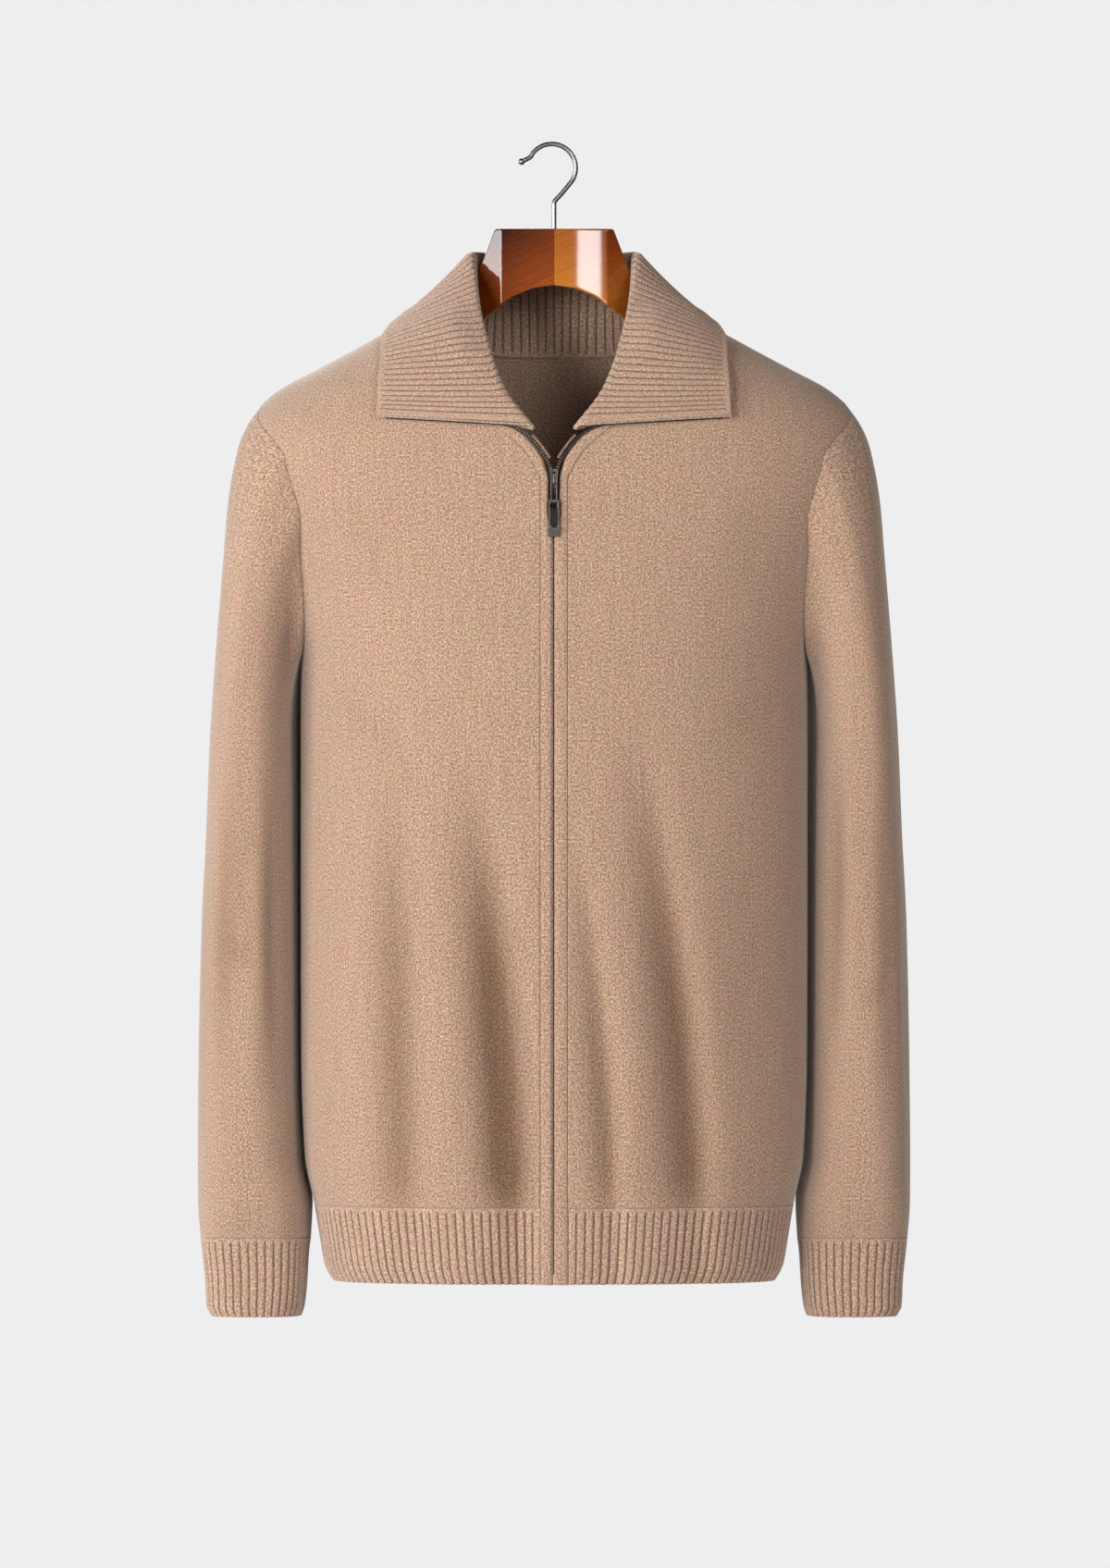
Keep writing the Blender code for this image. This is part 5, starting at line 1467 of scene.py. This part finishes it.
def metal_plate(middle_y, share_rows, half_widths, columns, low, high, thickness, crown, relief=None):
    """A small plate across the view, with its edges rounded."""
    z = low + (high - low) * np.asarray(share_rows)[:, None]
    columns = np.asarray(columns)
    x = np.asarray(half_widths)[:, None] * columns
    y = middle_y - thickness / 2 - crown * (1 - columns**2) + 0 * z
    points = np.stack([x, y, z + 0 * x], axis=-1)
    into = np.broadcast_to([0.0, 1.0, 0.0], points.shape)
    return cloth_shell(points, into, thickness, rims(*[PLATE_RIM] * 4), relief=relief)


plate_rows = np.concatenate([[0, 0.02, 0.05, 0.10], np.linspace(0.18, 0.86, 8), [0.92, 0.96, 0.985, 1]])
plate_half = along(PLATE_WIDTHS, 1, plate_rows)
plate_columns = np.array([-1, -0.92, -0.75, -0.4, 0, 0.4, 0.75, 0.92, 1])
plates = [
    metal_plate(y, plate_rows, plate_half, plate_columns, SLIDER_END, SLIDER_TOP, PLATE, crown)
    for y, crown in ((slider_back - PLATE / 2, PLATE_CROWN), (slider_back + THROAT + PLATE / 2, 0.0))
]
bridge_top, bridge_end, roof = SLIDER_TOP - 0.0022, SLIDER_END + 0.0014, slider_face - BRIDGE_HEIGHT
bridge_line = [
    (0, slider_face + BITE, bridge_top - 0.0006),
    (0, roof + 0.0009, bridge_top - 0.0006),
    (0, roof, bridge_top - 0.0018),
    (0, roof - 0.0001, (bridge_top + bridge_end) / 2),
    (0, roof, bridge_end + 0.0018),
    (0, roof + 0.0009, bridge_end + 0.0006),
    (0, slider_face + BITE, bridge_end + 0.0006),
]
bridge = rod(smooth_line(bridge_line, 0.0004), BRIDGE_WIRE, sides=12, flat=BRIDGE_FLAT)
post_ends = slider_back - BITE, slider_back + THROAT + BITE
post = rod([(0, y, SLIDER_TOP - 0.0012) for y in post_ends], POST_RADIUS, sides=10)
slider = add_piece("zip_slider", plates + [bridge, post], dark_metal, sharp=50)
fit(slider, "slider")

TAB_TOP, TAB_END, TAB_HALF, TAB_DEPTH = PIVOT - 0.0112, -0.2849, 0.00435, 0.0012
TAB_HOLLOW = 0.00035  # depth of the sunk field on each face of the tab
TAB_ROWS = (0, 0.015, 0.04, 0.075, 0.18, 0.195, 0.213, 0.265, 0.283, 0.30, 0.50, 0.70, 0.88, 0.90, 0.92)
TAB_ROWS += (0.955, 0.98, 1.0)
LINK_WIRE, LINK_HALF = 0.0005, 0.0020
LINK_CORNER, LINK_FOOT = 0.0100, 0.0124  # how far below the crossbar its sides and foot lie
pull_y = slider_face - 0.0011
link_path = [(-LINK_HALF, 0.0), (0.0, 0.0), (LINK_HALF, 0.0), (LINK_HALF, -0.0040), (LINK_HALF, -LINK_CORNER)]
link_path += [(LINK_HALF * 0.7, -LINK_FOOT), (-LINK_HALF * 0.7, -LINK_FOOT)]
link_path += [(-LINK_HALF, -LINK_CORNER), (-LINK_HALF, -0.0040)]
link_points = np.array([(x, pull_y, PIVOT + z) for x, z in link_path])
link_even = smooth_line(np.concatenate([link_points, link_points[:1]]), 0.0005)[:-1]
link = rod(link_even, LINK_WIRE, sides=10, closed=True)
tab_taper = np.interp(TAB_ROWS, [0, 0.04, 0.10, 0.90, 0.97, 1.0], [0.90, 0.98, 1.0, 0.97, 0.90, 0.76])
tab_columns = np.array([-1, -0.95, -0.86, -0.60, -0.52, -0.26, 0, 0.26, 0.52, 0.60, 0.86, 0.95, 1])
hollow_rows = np.interp(TAB_ROWS, [0, 0.265, 0.283, 0.88, 0.90, 1], [0, 0, 1, 1, 0, 0])
hollow_columns = np.interp(np.abs(tab_columns), [0, 0.52, 0.60, 1], [1, 1, 0, 0])
hollow = TAB_HOLLOW * hollow_rows[:, None] * hollow_columns
tab = metal_plate(
    pull_y, TAB_ROWS, TAB_HALF * tab_taper, tab_columns, TAB_END, TAB_TOP, TAB_DEPTH, 0.0, relief=hollow
)
pull = add_piece("zip_pull", [tab, link], dark_metal, sharp=40)
fit(pull, "pull_tab", body="pull")


# ------------------------------------------------------------------------------------- studio
# The photograph was taken straight on, in soft light from the left and the front, before a pale
# backdrop. The floor lies below the frame, and the lights themselves are never seen.

PHOTO_SIZE = (1200, 1695)
PHOTO_SCALE = 0.00067  # metres to a pixel of the photograph, at the hanger
PHOTO_CENTRE = (0.0007, -0.4618)
CAMERA_DISTANCE = 9.0
SENSOR = 36.0  # mm, along the picture's long side
FLOOR_LEVEL, FLOOR_RADIUS, FLOOR_LINES = -1.5, 2.2, 49
FLOOR_DARK, FLOOR_LIGHT = (0.80, 0.80, 0.79), (0.82, 0.82, 0.82)
BACKDROP = (0.855, 0.855, 0.855, 1)  # as the camera sees it
BOUNCE = (0.105, 0.078, 0.054, 1)  # the faint warm light that it throws back on the cloth
# Name, place, what it shines at, width and height, power and colour
LIGHTS = [
    ("key", (-2.55, -2.05, 0.20), (0.0, 0.0, -0.35), (1.5, 1.7), 80.0, (1.0, 0.995, 0.99)),
    ("front", (-1.55, -2.9, 0.00), (0.0, 0.0, -0.25), (0.7, 1.0), 62.0, (1.0, 0.995, 0.985)),
    ("fill", (1.4, -3.0, 0.8), (0.0, 0.0, -0.40), (1.0, 1.2), 47.0, (1.0, 0.99, 0.98)),
    ("strip", (0.30, -3.0, 0.05), (0.02, 0.0, -0.09), (0.20, 0.9), 10.0, (1.0, 0.98, 1.0)),
    ("gleam", (-2.95, -1.25, 0.05), (0.0, 0.0, -0.09), (0.5, 1.2), 20.0, (1.0, 1.0, 1.0)),
    ("rim", (-3.3, 0.9, 0.10), (-0.2, 0.0, -0.45), (0.8, 1.6), 30.0, (1.0, 1.0, 1.0)),
    ("back", (-0.5, 3.0, 0.7), (0.0, 0.0, -0.40), (1.4, 1.6), 42.0, (1.0, 0.99, 0.97)),
]

scene = bpy.context.scene
scene.view_settings.view_transform = "Standard"

# The floor's sheet is a grid drawn round, so that it has no hole and no pinch at its middle
lines = np.linspace(-1, 1, FLOOR_LINES)
across, ahead = np.meshgrid(lines, lines)
floor_x = across * np.sqrt(1 - ahead**2 / 2) * FLOOR_RADIUS
floor_y = ahead * np.sqrt(1 - across**2 / 2) * FLOOR_RADIUS
floor_points = np.stack([floor_x, floor_y, 0 * floor_x + FLOOR_LEVEL], axis=-1)
index = np.arange(FLOOR_LINES**2).reshape(FLOOR_LINES, FLOOR_LINES)
floor_quads = np.stack([index[:-1, :-1], index[:-1, 1:], index[1:, 1:], index[1:, :-1]], axis=-1)
floor_part = {"points": floor_points.reshape(-1, 3), "quads": floor_quads.reshape(-1, 4)}
paper, paper_tree, paper_shader = new_finish("matt_floor")
paper_grain = noise_of(paper_tree, object_place(paper_tree), 18.0, 3.0)
paper_tone = tones(paper_tree, paper_grain, [(0.3, FLOOR_DARK), (0.7, FLOOR_LIGHT)])
paper_tree.links.new(paper_tone, paper_shader.inputs["Base Color"])
paper_shader.inputs["Roughness"].default_value = 0.9
floor = add_piece("floor", [floor_part], paper)

world = bpy.data.worlds.new("studio")
world.use_nodes = True
scene.world = world
sky = world.node_tree
lit, seen = (
    add_node(sky, "ShaderNodeBackground", {"Color": colour, "Strength": 1.0}).outputs[0]
    for colour in (BOUNCE, BACKDROP)
)
from_camera = add_node(sky, "ShaderNodeLightPath", {}).outputs["Is Camera Ray"]
both = add_node(sky, "ShaderNodeMixShader", {0: from_camera, 1: lit, 2: seen})
sky.links.new(both.outputs[0], sky.nodes["World Output"].inputs["Surface"])

for name, place, target, (width, height), power, colour in LIGHTS:
    data = bpy.data.lights.new(name, "AREA")
    data.shape = "RECTANGLE"
    data.size, data.size_y = width, height
    data.energy = power
    data.color = colour
    light = bpy.data.objects.new(name, data)
    scene.collection.objects.link(light)
    light.location = place
    aim = unit(np.subtract(target, place))
    light.rotation_euler = (math.acos(-aim[2]), 0, math.atan2(-aim[0], aim[1]))
    light.visible_camera = False

lens = bpy.data.cameras.new("camera")
lens.sensor_width = SENSOR
lens.lens = SENSOR * CAMERA_DISTANCE / (PHOTO_SIZE[1] * PHOTO_SCALE)
lens.clip_end = 60.0
camera = bpy.data.objects.new("camera", lens)
scene.collection.objects.link(camera)
camera.location = (PHOTO_CENTRE[0], -CAMERA_DISTANCE, PHOTO_CENTRE[1])
camera.rotation_euler = (math.pi / 2, 0, 0)
scene.camera = camera
